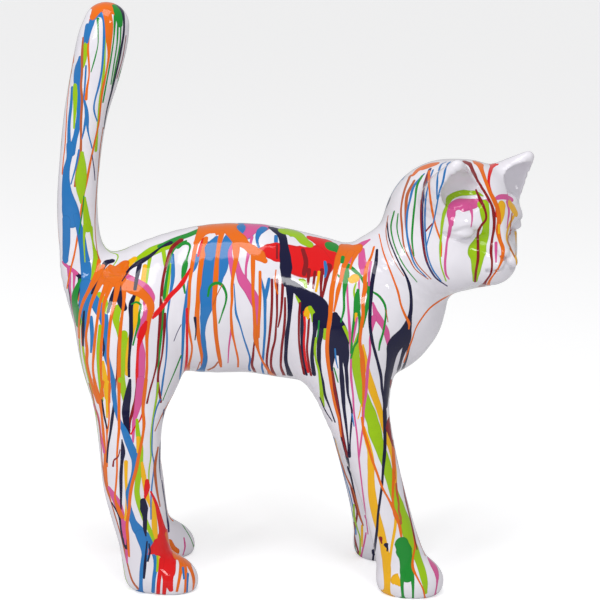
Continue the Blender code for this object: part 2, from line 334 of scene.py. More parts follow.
def clay(points):
    """The field of the whole cat, negative inside, at points given in hundredths of the height."""
    field = limb(points, smooth_line(TORSO, 4))
    field = melt(field, limb(points, smooth_line(TAIL, 4)), 5.0)
    for side in (-1, 1):
        hip = ball(points, np.array([-28.9, side * haunch * 0.50, 43.1]),
                   np.array([8.6, haunch * 0.50, 11.5]), tipped(-8))
        field = melt(field, hip, 4.0)
        field = melt(field, limb(points, smooth_line(hind_leg(side), 4)), 5.0)
        blade = ball(points, np.array([8.4, side * shoulder * 0.48, 46.1]),
                     np.array([8.2, shoulder * 0.52, 11.0]), tipped(18))
        field = melt(field, blade, 4.0)
        field = melt(field, limb(points, smooth_line(fore_leg(side), 4)), 5.0)
        hind_paw = ball(points, np.array([-21.6, side * paw_y, 2.2]), np.array([5.5, 4.6, 3.9]), tipped(15))
        field = melt(field, hind_paw, 3.0)
        back = stride if side > 0 else 0
        fore_paw = ball(points, np.array([22.0 - back, side * paw_y, 2.4]), np.array([5.2, 4.8, 4.0]),
                        tipped(10))
        field = melt(field, fore_paw, 3.0)
    skull = ball(points, HEAD_CENTRE, head_half, HEAD_AXES)
    field = melt(field, skull, 4.0)
    field = face(points, field)
    for side in (-1, 1):
        field = ear(points, field, side)
    field = features(points, field)
    return carve(field, points[:, 2] + FLOOR_DIP, sole_edge)


def sample(shape, low, high, step, leap=4):
    """The field at the corners of a grid of cubes, worked out only near the surface.

    A coarse grid, with one corner for every few of the fine one, says which corners lie near it."""
    counts = (np.ceil((high - low) / (step * leap)).astype(int) + 1) * leap
    coarse = np.indices(counts // leap + 1).reshape(3, -1).T
    rough = shape(low + coarse * step * leap).reshape(counts // leap + 1)
    nearest = [(np.arange(count) + leap // 2) // leap for count in counts]
    field = rough[np.ix_(*nearest)]
    close = np.abs(field) < 2 * step * leap
    places = low + np.argwhere(close) * step
    blocks = np.array_split(places, len(places) // AT_ONCE + 1)
    field[close] = np.concatenate([shape(block) for block in blocks])
    return field


def settled(field):
    """The field with no corners left where two parts of the solid would touch along one edge only."""
    spoilt = True
    while spoilt:
        spoilt = False
        for axis in range(3):
            sheet = np.moveaxis(field, axis, 0)
            corners = [sheet[:, :-1, :-1], sheet[:, 1:, :-1], sheet[:, 1:, 1:], sheet[:, :-1, 1:]]
            solid = [corner < 0 for corner in corners]
            crossed = (solid[0] == solid[2]) & (solid[1] == solid[3]) & (solid[0] != solid[1])
            for corner in corners:
                corner[crossed] = np.minimum(corner[crossed], FAINT)
            spoilt = spoilt or crossed.any()
    return field


def surface_net(field, low, step):
    """Points and quads of the surface where the field is zero: one point to a mixed cube."""
    inside = field < 0
    cubes = np.array(field.shape) - 1
    shifts = np.indices((2, 2, 2)).reshape(3, -1).T

    def shifted(array, shift):
        window = tuple(slice(s, s + n) for s, n in zip(shift, cubes))
        return array[window]

    full = sum(shifted(inside, shift).astype(int) for shift in shifts)
    mixed = (full > 0) & (full < 8)
    number = np.full(mixed.shape, -1)
    number[mixed] = np.arange(mixed.sum())
    total = np.zeros((mixed.sum(), 3))
    hits = np.zeros(mixed.sum())
    for shift in shifts:
        for axis in range(3):
            if shift[axis]:
                continue
            other = shift + np.eye(3, dtype=int)[axis]
            start = shifted(field, shift)[mixed]
            end = shifted(field, other)[mixed]
            crossed = (start < 0) != (end < 0)
            place = np.repeat(shift[None].astype(float), len(start), axis=0)
            place[:, axis] = np.where(crossed, start / np.where(crossed, start - end, 1), 0)
            total += place * crossed[:, None]
            hits += crossed
    points = low + step * (np.argwhere(mixed) + total / hits[:, None])
    quads = []
    for axis in range(3):
        u, v = (axis + 1) % 3, (axis + 2) % 3
        first = [slice(1, -1)] * 3
        first[axis] = slice(0, -1)
        second = list(first)
        second[axis] = slice(1, None)
        start = inside[tuple(first)]
        end = inside[tuple(second)]
        node = np.argwhere(start != end) + [int(a != axis) for a in range(3)]
        step_u = np.eye(3, dtype=int)[u]
        step_v = np.eye(3, dtype=int)[v]
        ring = [number[tuple((node - back).T)] for back in (0 * step_u, step_u, step_u + step_v, step_v)]
        quad = np.stack(ring, axis=1)
        leaving = start[start != end]
        quad[~leaving] = quad[~leaving][:, ::-1]
        quads.append(quad)
    return points, np.vstack(quads)


def room():
    """The low and high corners of the space the clay fills, with some air around it."""
    width = max(HEAD_LENGTH, HAUNCH_WIDTH, SHOULDER_WIDTH, PAW_SPREAD) / SHARE
    low = np.array([-38 - 3 * tail, -width * 0.5 - 3, -2.0])
    high = np.array([26 + head_half[0] + 5, width * 0.5 + 3, 98 + tail])
    return low, high


# The corners of a tetrahedron round a point, where the field is felt for its slope
TETRA = np.array([(1, 1, 1), (1, -1, -1), (-1, 1, -1), (-1, -1, 1)]) / math.sqrt(3)


def slope(points, reach):
    """The field at some points, and its gradient there."""
    values = [clay(points + reach * corner) for corner in TETRA]
    gradient = sum(value[:, None] * corner for value, corner in zip(values, TETRA)) * 0.75 / reach
    return sum(values) / 4, gradient


def drawn_on(places, step):
    """Places near the surface of the clay, moved along its slope until they lie on it."""
    for reach in (0.10, 0.05):
        value, gradient = slope(places, reach)
        steep = np.maximum((gradient ** 2).sum(axis=1), 0.25)
        move = -(value / steep)[:, None] * gradient
        far = np.linalg.norm(move, axis=1)
        move *= np.minimum(1, step * 0.5 / np.maximum(far, 1e-9))[:, None]
        places += move
    return places


def finer_head(mesh):
    """Cut the head's faces in four, so that the mesh holds the face's fine relief."""
    shape = bmesh.new()
    shape.from_mesh(mesh)
    middle = Vector(HEAD_CENTRE * SHARE)
    reach = HEAD_LENGTH * 0.62
    edges = [edge for edge in shape.edges
             if all((vertex.co - middle).length < reach for vertex in edge.verts)]
    bmesh.ops.subdivide_edges(shape, edges=edges, cuts=1, use_grid_fill=True)
    shape.to_mesh(mesh)
    shape.free()


def flat_soles(mesh):
    """Cut the paws off flat at the floor, and close the cuts."""
    shape = bmesh.new()
    shape.from_mesh(mesh)
    geometry = shape.verts[:] + shape.edges[:] + shape.faces[:]
    cut = bmesh.ops.bisect_plane(shape, geom=geometry, plane_co=(0, 0, 0), plane_no=(0, 0, -1),
                                 clear_outer=True)
    rims = [item for item in cut["geom_cut"] if isinstance(item, bmesh.types.BMEdge)]
    soles = bmesh.ops.edgeloop_fill(shape, edges=rims)["faces"]
    bmesh.ops.triangulate(shape, faces=soles)
    bmesh.ops.recalc_face_normals(shape, faces=shape.faces[:])
    shape.to_mesh(mesh)
    shape.free()


def cast_cat():
    """The clay's net, refined on the head and drawn on to the clay's own surface."""
    step = NET_STEP / SHARE
    low, high = room()
    field = settled(sample(clay, low, high, step))
    places, quads = surface_net(field, low, step)
    mesh = bpy.data.meshes.new("resin_cat")
    mesh.from_pydata((places * SHARE).tolist(), [], quads.tolist())
    mesh.update()
    finer_head(mesh)
    places = np.empty(len(mesh.vertices) * 3)
    mesh.vertices.foreach_get("co", places)
    places = drawn_on(places.reshape(-1, 3) / SHARE, step)
    places *= SHARE
    places[:, 0] -= MIDDLE_X
    mesh.vertices.foreach_set("co", places.ravel())
    flat_soles(mesh)
    mesh.shade_smooth()
    return mesh


cat = bpy.data.objects.new("resin_cat", cast_cat())
bpy.context.collection.objects.link(cat)
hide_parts("cat")
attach(cat, "root")


# The paint: runny colours poured and trickled over the casting, layer on layer, each flush under the
# gloss coat. A pour is a line on the surface with a half width all along it. On the side in the picture
# it is laid by where it is seen, in points of the picture; on the rest it runs from the back downhill.
COLOURS = {
    "orange": (228, 106, 0),
    "blue": (34, 116, 184),
    "lime": (152, 194, 0),
    "navy": (0, 0, 50),
    "red": (222, 4, 12),
    "dark_red": (134, 10, 20),
    "pink": (212, 84, 148),
    "green": (14, 138, 42),
    "yellow": (238, 178, 0),
    "violet": (50, 40, 92),
    "rust": (184, 92, 44),
}
NAMES = list(COLOURS)

# The most pours on one face, the step along a drip in metres, the size on the cat of a point of the
# picture, the least width of a pour in those points, how uneven it is, and where chance starts
LAYERS = 6
PATH_STEP = 0.0025
POINT = CAMERA_DISTANCE / (CAMERA_LENS / SENSOR * PICTURE)
THINNEST = 0.8
UNEVEN = 0.06
SEED = 4165

form = cat.data
corner_at = np.empty(len(form.vertices) * 3)
form.vertices.foreach_get("co", corner_at)
corner_at = corner_at.reshape(-1, 3)
corner_out = np.empty(len(form.vertices) * 3)
form.vertices.foreach_get("normal", corner_out)
corner_out = corner_out.reshape(-1, 3)
surface = BVHTree.FromPolygons([tuple(place) for place in corner_at],
                               [tuple(face.vertices) for face in form.polygons])
chance = np.random.default_rng(SEED)
pours = []


def seen(across, down):
    """The place on the casting that shows at a point of the picture, and the way the surface faces."""
    eye = CAMERA_AIM + BACK * CAMERA_DISTANCE
    reach = CAMERA_LENS / SENSOR * PICTURE
    ray = (RIGHT * (across - PICTURE / 2) - UP * (down - PICTURE / 2) - BACK * reach).normalized()
    place, out, _, _ = surface.ray_cast(eye, ray)
    if place is None:
        place, out, _, _ = surface.find_nearest(eye + ray * (CAMERA_AIM - eye).dot(ray))
    return place, out


def waver(count, strength, length=7):
    """A slow random rise and fall around one, for a width or a drift."""
    knots = chance.normal(0, strength, count // length + 3)
    return 1 + np.interp(np.arange(count) / length, np.arange(len(knots)), knots)


def keep(colour, path, halves):
    """Add one pour, broken where its path jumps from one limb to another."""
    places = np.array([place for place, out in path])
    outs = np.array([out for place, out in path])
    halves = np.array(halves, float)
    jumps = np.linalg.norm(np.diff(places, axis=0), axis=1) > 5 * PATH_STEP
    cuts = [0, *(np.flatnonzero(jumps) + 1), len(places)]
    for start, end in zip(cuts, cuts[1:]):
        if end - start > 1:
            part = slice(start, end)
            pours.append((NAMES.index(colour), places[part], outs[part], halves[part]))


def pour(colour, *route, widest=3.0):
    """A pour through points of the picture, each with the pour's width there, in the picture's points.
    Where the casting turns away it is as much as widest times that, to look as wide."""
    line = smooth_line(route, 12)
    aside = np.gradient(line[:, :2], axis=0)[:, ::-1] * (-1, 1)
    aside *= (np.maximum(line[:, 2], THINNEST) / 2 / np.maximum(np.linalg.norm(aside, axis=1), 1e-6))[:, None]
    path = [seen(across, down) for across, down, width in line]
    halves = []
    for (across, down, width), (right, low), (place, out) in zip(line, aside, path):
        edges = [seen(across + right, down + low)[0], seen(across - right, down - low)[0]]
        flat = max(width, THINNEST) / 2 * POINT
        halves.append(min(max((edges[0] - edges[1]).length / 2, flat), widest * flat))
    keep(colour, path, np.array(halves) * waver(len(line), UNEVEN))


def downhill(place, out, heading, length, drift, pull=0.55):
    """The path of a drip: it keeps some of its heading, is pulled downhill and drifts a little."""
    path = []
    swing = chance.normal(0, drift)
    for _ in range(int(length / PATH_STEP)):
        path.append((place, out))
        fall = Vector((0, 0, -1))
        fall -= out * fall.dot(out)
        swing = 0.93 * swing + chance.normal(0, drift * 0.35)
        way = heading * (1 - pull) + fall * pull + out.cross(fall) * swing
        way -= out * way.dot(out)
        if way.length < 0.12 or out.z < -0.75:
            break
        heading = way.normalized()
        place, out, _, _ = surface.find_nearest(place + heading * PATH_STEP)
    return path


def drip_halves(count, width):
    """Half widths of a drip: broad where it leaves its pool, thin along its run, and a bead at its end."""
    run = np.arange(count)
    shape = 0.82 + 0.8 * np.exp(-run / 3) + 0.45 * np.exp(-(count - 1 - run) / 2.5)
    return width / 2000 * shape * waver(count, 0.10)


def pool_halves(count, width):
    """Half widths of a pool of paint, full in the middle and drawn out to its ends."""
    swell = np.sin(np.pi * (np.arange(count) + 0.5) / count) ** 0.4
    return width / 2000 * (0.30 + 0.70 * swell) * waver(count, 0.20, 3)


# The paint that the picture doesn't show: pools poured along the back, the tail, the haunches and the
# crown, from which drips run down over the far sides, and lone trickles between them.
def spill(colour, start, toward, heading, pool, drips, fall):
    """A pool, (length, width), where a line meets the casting, and drips of a few widths from it; fall
    is their least and greatest run. Lengths are in metres and widths in millimetres."""
    place, out, _, _ = surface.ray_cast(Vector(start), Vector(toward).normalized())
    if place is None:
        return
    bed = downhill(place, out, Vector(heading), pool[0], 0.12, chance.uniform(0.02, 0.14))
    if len(bed) < 4:
        return
    for width in drips:
        place, out = bed[int(chance.integers(1, len(bed) - 1))]
        path = downhill(place, out, Vector((0, 0, -1)), chance.uniform(*fall), 0.05)
        if len(path) > 3:
            keep(colour, path, drip_halves(len(path), width))
    keep(colour, bed, pool_halves(len(bed), pool[1]))


BRIGHT = ["orange", "blue", "lime", "red", "pink", "navy", "green", "orange", "yellow", "blue",
          "dark_red", "navy", "lime", "violet", "pink", "rust"]


def colours_in_turn():
    """The bright colours without end, with a chance skip, so that neighbours differ."""
    place = 0
    while True:
        place += int(chance.integers(1, 4))
        yield BRIGHT[place % len(BRIGHT)]


def widths(count, least, most):
    """The widths of a spill's drips, drawn from a range."""
    return [chance.uniform(least, most) for _ in range(count)]


def trickle(colour, start, toward, width, length):
    """A lone drip, width in millimetres, from where a line meets the casting."""
    place, out, _, _ = surface.ray_cast(Vector(start), Vector(toward).normalized())
    if place is not None:
        path = downhill(place, out, Vector((0, 0, -1)), length, 0.06)
        if len(path) > 3:
            keep(colour, path, drip_halves(len(path), width))


EITHER = "one way or the other"


def drawn(parts):
    """The parts, with each range among them drawn from and each EITHER made one way or the other."""
    values = []
    for part in parts:
        if part is EITHER:
            part = chance.choice((-1, 1))
        elif isinstance(part, tuple):
            part = chance.uniform(*part)
        values.append(part)
    return values


# Rows of how many spills, start, toward, heading, the pool's length and width, the drips' number and
# least and greatest width, and their least and greatest run. A pair within a place is a range.
SPILLS = [
    (1, (x, (0.002, 0.012), 0.6), (0, 0.03, -1), (EITHER, (0.2, 1.6), 0),
     ((0.016, 0.05), (7, 16)), (4, 1.4, 3.8), (0.05, 0.17))
    for x in np.linspace(-0.128, 0.082, 22)
] + [
    (12, ((-0.09, 0.07), 0.3, (0.225, 0.275)), (0, -1, 0), (EITHER, 0, (-0.6, 0.2)),
     ((0.014, 0.04), (4, 11)), (3, 1.2, 3.0), (0.04, 0.12)),
    (16, ((-0.165, -0.085), 0.3, (0.17, 0.285)), (0, -1, 0), (EITHER, 0, (-0.8, 0.1)),
     ((0.012, 0.03), (4, 12)), (4, 1.2, 3.6), (0.07, 0.22)),
    (13, ((0.025, 0.105), 0.3, (0.18, 0.275)), (0, -1, 0), (EITHER, 0, (-0.8, 0.1)),
     ((0.012, 0.03), (4, 12)), (4, 1.2, 3.4), (0.07, 0.22)),
    (9, (-0.35, (-0.035, 0.05), (0.21, 0.285)), (1, 0, 0), (0, EITHER, -0.3),
     ((0.012, 0.03), (3, 9)), (3, 1.2, 3.2), (0.08, 0.20)),
    (15, ((-0.19, -0.135), 0.3, (0.31, 0.485)), (0, -1, 0), (EITHER, 0, -0.6),
     ((0.010, 0.03), (4, 10)), (3, 1.2, 3.2), (0.06, 0.18)),
    (9, (-0.4, (0.001, 0.014), (0.29, 0.48)), (1, 0, 0), (0, EITHER, -0.8),
     ((0.012, 0.03), (2, 7)), (2, 1.2, 3.0), (0.06, 0.16)),
    (7, (0.0, (0.0, 0.014), (0.34, 0.48)), (-1, 0, 0), (0, 1, -0.8),
     ((0.010, 0.02), (2, 4)), (2, 1.0, 2.2), (0.06, 0.13)),
    (16, ((0.090, 0.175), (0.012, 0.05), 0.6), (0, 0, -1), (EITHER, 1, 0),
     ((0.012, 0.03), (1.6, 6)), (3, 1.2, 2.6), (0.04, 0.11)),
    (8, (0.4, (0.028, 0.056), (0.08, 0.19)), (-1, 0, 0), (0, EITHER, -0.8),
     ((0.008, 0.02), (2, 7)), (2, 1.0, 2.6), (0.05, 0.15)),
]

# Rows of how many trickles, start, toward, and the least and greatest width and run
TRICKLES = [
    (30, ((-0.165, -0.075), 0.3, (0.10, 0.24)), (0, -1, 0), (1.0, 2.8), (0.10, 0.24)),
    (24, ((0.05, 0.125), 0.3, (0.09, 0.22)), (0, -1, 0), (1.0, 2.8), (0.10, 0.22)),
    (24, ((-0.09, 0.07), 0.3, (0.20, 0.28)), (0, -1, 0), (1.0, 2.6), (0.06, 0.14)),
    (22, ((-0.195, -0.135), 0.3, (0.32, 0.485)), (0, -1, 0), (1.0, 2.6), (0.06, 0.18)),
    (12, (-0.35, (-0.04, 0.05), (0.08, 0.22)), (1, 0, 0), (1.0, 2.4), (0.08, 0.20)),
    (18, ((0.09, 0.175), 0.3, (0.29, 0.37)), (0, -1, 0), (1.0, 2.4), (0.03, 0.09)),
    (10, (0.4, (0.03, 0.055), (0.06, 0.15)), (-1, 0, 0), (1.0, 2.2), (0.05, 0.14)),
]
in_turn = colours_in_turn()
for count, start, toward, heading, pool, drips, fall in SPILLS:
    for _ in range(count):
        spill(next(in_turn), drawn(start), toward, drawn(heading), drawn(pool), widths(*drips), fall)
for count, start, toward, width, length in TRICKLES:
    for _ in range(count):
        trickle(next(in_turn), drawn(start), toward, chance.uniform(*width), chance.uniform(*length))


# The paint that the picture shows, poured limb by limb. Each row is a colour and the places of a pour,
# as points across and down the picture with the pour's width there, all in the picture's points.
TAIL_POURS = [
    ("blue", (87, 26, 4), (86, 38, 6), (85, 46, 5)),
    ("lime", (86, 45, 5), (84, 55, 6), (82, 63, 7), (80, 71, 4)),
    ("blue", (80, 58, 3), (77, 72, 7), (77, 88, 7), (79, 104, 5), (78, 124, 5), (74, 142, 6), (71, 152, 8)),
    ("blue", (72, 88, 2), (71, 105, 3), (69, 125, 3), (69, 150, 4)),
    ("lime", (75, 86, 4), (75, 96, 5), (75, 107, 4), (74, 128, 2)),
    ("rust", (83, 38, 1.5), (82, 56, 3), (82, 72, 2.5), (81, 86, 2.5), (82, 100, 2.5), (81, 122, 2.5),
     (81, 142, 2.5), (80, 158, 3), (77, 172, 3), (75, 186, 2)),
    ("blue", (86, 66, 2), (85, 84, 2), (84, 98, 2), (86, 108, 3.5), (87, 118, 4), (88, 131, 2),
     (92, 148, 1.5)),
    ("blue", (86, 116, 2.5), (84, 130, 2), (82, 139, 1)),
    ("orange", (90, 20, 2), (89, 34, 2), (88, 50, 2), (89, 64, 2), (89, 76, 1.5), (87, 88, 2.5),
     (86, 99, 3)),
    ("green", (98, 19, 3), (98, 30, 1.5), (98, 44, 1), (95, 58, 1.5), (91, 72, 1)),
    ("lime", (106, 20, 1.5), (105, 50, 1.5), (104, 70, 2.5), (102, 86, 2.5), (100, 102, 3), (98, 124, 2),
     (96, 150, 3)),
    ("blue", (87, 42, 3), (90, 27, 5), (94, 17, 6), (99, 13, 7), (104, 19, 4), (104, 40, 2.5), (102, 68, 2),
     (99, 85, 2), (95, 100, 1.7), (94, 110, 1.7), (97, 121, 1.2)),
    ("green", (115, 16, 3), (114, 36, 1.6), (111, 58, 1.6), (107, 80, 1.6), (103, 102, 1.5)),
    ("green", (118, 24, 2), (117, 44, 1.5), (114, 64, 1.3), (111, 84, 1.2)),
    ("green", (121, 22, 2), (120, 44, 1.5), (116, 66, 1.5), (112, 88, 1.5)),
    ("orange", (93, 16, 6), (99, 7, 10), (109, 6, 14), (117, 12, 7)),
    ("orange", (107, 12, 9), (109, 24, 8), (109, 40, 6), (109, 55, 3), (106, 74, 2), (103, 88, 2.5),
     (101, 102, 2), (99, 122, 1.7), (96, 136, 1.8), (93, 150, 2.2), (90, 164, 2.2), (87, 180, 2.4),
     (83, 198, 2.4), (80, 220, 2.2), (77, 240, 2), (74, 256, 2), (70, 272, 1.8), (67, 288, 1.2)),
    ("green", (118, 8, 6), (119, 15, 8), (120, 24, 6)),
    ("navy", (118, 5, 2), (123, 13, 2.4), (124, 30, 2.2), (121, 50, 2.2), (117, 70, 2), (112, 90, 1.8),
     (107, 110, 1.4), (104, 128, 1)),
    ("dark_red", (126, 36, 0.8), (123, 56, 0.9), (117, 78, 0.8)),
    ("blue", (70, 146, 8), (69, 158, 6), (66, 172, 7), (66, 190, 10), (69, 207, 15), (71, 219, 18)),
    ("blue", (66, 220, 9), (66, 240, 8), (65, 259, 6)),
    ("blue", (76, 216, 6), (81, 235, 7), (84, 254, 9), (86, 270, 11), (86, 290, 12), (85, 303, 14)),
    ("lime", (82, 153, 3), (82, 165, 8), (81, 180, 11), (81, 192, 8), (81, 203, 2)),
    ("lime", (85, 198, 2), (86, 212, 6), (88, 228, 8)),
    ("lime", (85, 226, 4), (84, 240, 2), (85, 262, 1)),
    ("lime", (91, 228, 4), (93, 243, 2), (96, 258, 6), (96, 270, 9), (92, 284, 5)),
    ("green", (84, 196, 1.2), (82, 214, 1.4), (79, 234, 1)),
    ("blue", (79, 150, 2), (76, 166, 2), (71, 184, 1.4)),
    ("violet", (92, 155, 1), (94, 168, 1.2), (95, 180, 0.8)),
    ("rust", (103, 128, 0.8), (100, 150, 1), (98, 172, 0.8), (96, 200, 0.9), (95, 226, 0.8), (97, 250, 1),
     (100, 262, 2)),
]
RUMP_POURS = [
    ("green", (80, 280, 3), (75, 295, 6), (75, 309, 6), (78, 321, 5)),
    ("blue", (86, 286, 12), (86, 301, 17), (84, 312, 9), (85, 330, 3), (86, 346, 2)),
    ("blue", (94, 296, 10), (99, 306, 14), (104, 320, 9), (105, 338, 8), (106, 354, 6), (110, 369, 5),
     (114, 384, 5)),
    ("blue", (91, 318, 4), (92, 335, 4), (91, 352, 2)),
    ("lime", (137, 260, 6), (150, 252, 9), (162, 247, 9), (173, 244, 7)),
    ("lime", (150, 257, 4), (148, 270, 3), (146, 286, 2)),
    ("lime", (163, 248, 4), (165, 262, 4), (166, 272, 1)),
    ("yellow", (128, 264, 7), (134, 259, 5)),
    ("yellow", (145, 266, 5), (143, 282, 5)),
    ("violet", (166, 243, 3), (176, 238, 2)),
    ("green", (160, 246, 4), (178, 238.5, 5), (188, 235, 5), (200, 230, 4)),
    ("blue", (172, 255, 4), (173, 276, 4), (170, 296, 2.5), (167, 320, 1.6), (167, 340, 2), (166, 360, 1.6),
     (163, 380, 2), (161, 396, 1.5)),
    ("lime", (170, 264, 3), (168, 284, 3.5), (166, 300, 2)),
    ("green", (186, 241, 2), (176, 246, 4), (171, 255, 2.5), (168, 270, 2.5), (165, 290, 3), (163, 312, 3),
     (161, 334, 3), (159, 356, 2.5), (158, 374, 2), (157, 390, 1.5), (156, 402, 2)),
    ("dark_red", (181, 240, 4), (172, 248, 4), (167, 262, 3.4), (163, 280, 3), (161, 300, 3), (160, 322, 3),
     (158, 345, 2.2), (157, 362, 2.2), (154, 376, 2), (150, 390, 2), (147, 403, 2)),
    ("dark_red", (165, 314, 3), (164, 335, 2.6), (162, 355, 2), (159, 370, 2.2), (158, 382, 2.6),
     (161, 402, 2)),
    ("green", (178, 247, 4), (184, 243, 4), (190, 246, 2.4), (187, 258, 2.2), (185, 266, 6), (183, 279, 3),
     (185, 293, 2)),
    ("blue", (189, 282, 3), (187, 300, 5), (184, 320, 4), (183, 340, 3), (182, 360, 2), (180, 378, 1.5)),
    ("blue", (207, 244, 8), (207, 262, 9), (206, 284, 9), (205, 310, 9), (203, 330, 5), (205, 345, 3),
     (206, 360, 3), (203, 370, 3)),
    ("blue", (198, 256, 5), (195, 266, 4), (192, 274, 1)),
    ("red", (203, 238, 2), (201, 247, 4), (198, 256, 2)),
    ("orange", (207, 231, 6), (200, 236, 5), (196, 245, 4), (193, 260, 4), (190, 280, 3.4), (189, 300, 3),
     (188, 320, 2.6), (190, 335, 2.5), (192, 349, 2), (189, 364, 2), (184, 378, 2), (179, 390, 1.6)),
    ("orange", (206, 238, 5), (203, 254, 6), (200, 272, 5), (198, 300, 4.5), (197, 320, 5), (199, 340, 4),
     (202, 357, 3), (202, 366, 3)),
    ("red", (187, 309, 3), (187, 330, 2.6), (187, 350, 2.6), (186, 365, 2), (182, 380, 2), (178, 392, 1.6)),
    ("navy", (195, 318, 3), (196, 330, 1.5), (195, 340, 1)),
    ("green", (181, 356, 1.6), (175, 371, 1.3), (169, 385, 1), (163, 400, 1)),
    ("rust", (200, 362, 1), (196, 372, 1), (188, 382, 1), (177, 394, 1), (168, 403, 1)),
    ("violet", (181, 325, 0.7), (177, 333, 0.7), (174, 341, 0.6)),
    ("lime", (99, 294, 5), (105, 302, 6), (106, 313, 2)),
    ("lime", (118, 308, 7), (116, 319, 7), (118, 330, 4), (119, 341, 1)),
    ("lime", (100, 326, 3), (99, 345, 5), (99, 362, 5), (100, 380, 4), (102, 400, 3)),
    ("lime", (124, 334, 7), (124, 355, 8), (122, 374, 6), (124, 390, 5), (125, 403, 3)),
    ("yellow", (138, 296, 5), (136, 308, 6), (135, 322, 5), (131, 336, 5), (128, 354, 5), (127, 374, 4)),
    ("yellow", (103, 362, 3), (105, 378, 5), (107, 398, 5)),
    ("navy", (120, 286, 4), (120, 298, 8), (124, 308, 6)),
    ("navy", (135, 294, 3), (131, 305, 5), (131, 318, 4), (131, 334, 4), (130, 347, 3), (129, 362, 2.6),
     (129, 376, 2.6)),
    ("navy", (84, 312, 2), (83, 326, 3), (83, 345, 2)),
    ("navy", (103, 338, 1.5), (104, 348, 2.2), (103, 356, 1)),
    ("navy", (112, 261, 4), (106, 263, 5), (101, 271, 4)),
    ("navy", (100, 278, 3), (95, 287, 4), (92, 293, 2)),
    ("navy", (116, 288, 4), (112, 298, 5), (108, 312, 3)),
    ("pink", (145, 302, 4), (145, 316, 5), (140, 327, 7), (138, 337, 3)),
    ("pink", (141, 341, 3), (141, 352, 8), (141, 370, 8), (140, 386, 7)),
    ("pink", (125, 275, 5), (136, 281, 7), (146, 288, 8), (152, 296, 6), (152, 303, 4)),
    ("orange", (102, 275, 8), (110, 273, 18), (119, 270, 16), (124, 264, 8)),
    ("orange", (104, 280, 8), (112, 281, 12), (121, 280, 9)),
    ("orange", (123, 281, 7), (131, 287, 13), (140, 292, 12), (148, 300, 9), (151, 309, 7), (149, 319, 5),
     (147, 335, 3.6), (147, 350, 3), (147, 366, 3), (146, 381, 3)),
    ("orange", (103, 266, 4), (96, 280, 4), (88, 292, 3.4), (82, 305, 3), (79, 320, 2), (79, 337, 1.5)),
    ("orange", (102, 279, 6), (94, 296, 4), (90, 308, 3.4), (88, 322, 3), (86, 336, 2.6), (87, 350, 3.4),
     (87, 364, 3), (92, 385, 3), (98, 401, 4)),
    ("orange", (107, 284, 6), (101, 299, 3.4), (98, 315, 3), (96, 330, 3), (94, 350, 3), (93, 370, 2.4),
     (96, 388, 3)),
    ("orange", (111, 285, 5), (104, 304, 3.4), (103, 325, 3), (101, 350, 3), (101, 376, 2.4),
     (103, 396, 2.4)),
    ("orange", (118, 284, 6), (115, 300, 4), (111, 318, 3.4), (109, 335, 3), (108, 356, 3), (109, 380, 3),
     (109, 402, 3)),
    ("dark_red", (121, 318, 2), (118, 350, 2), (117, 370, 1.6), (115, 392, 1.6)),
    ("orange", (124, 284, 6), (124, 300, 3.6), (122, 316, 3), (120, 335, 3.4), (119, 360, 4),
     (119, 388, 4)),
    ("navy", (140, 263, 5), (137, 277, 4), (135, 289, 3)),
    ("navy", (127, 272, 2), (132, 267, 3), (140, 262, 5), (150, 256, 4), (160, 248, 2), (170, 243, 4)),
    ("navy", (129, 270, 1), (126, 275, 1.2), (122, 281, 1)),
    ("orange", (99, 261, 4), (97, 270, 3), (92, 283, 4), (86, 296, 3)),
    ("green", (132, 304, 1.6), (137, 302, 2), (141, 306, 2.4), (139, 315, 2.2), (139, 322, 3),
     (136, 333, 2), (133, 345, 1.6)),
    ("red", (146, 322, 3), (143, 330, 7), (140, 340, 5), (138, 350, 3), (137, 370, 3), (137, 388, 3)),
    ("red", (190, 269, 2), (184, 280, 4.6), (178, 288, 4.6), (170, 296, 4.4), (162, 307, 4.4),
     (156, 314, 5), (153, 318, 2)),
]
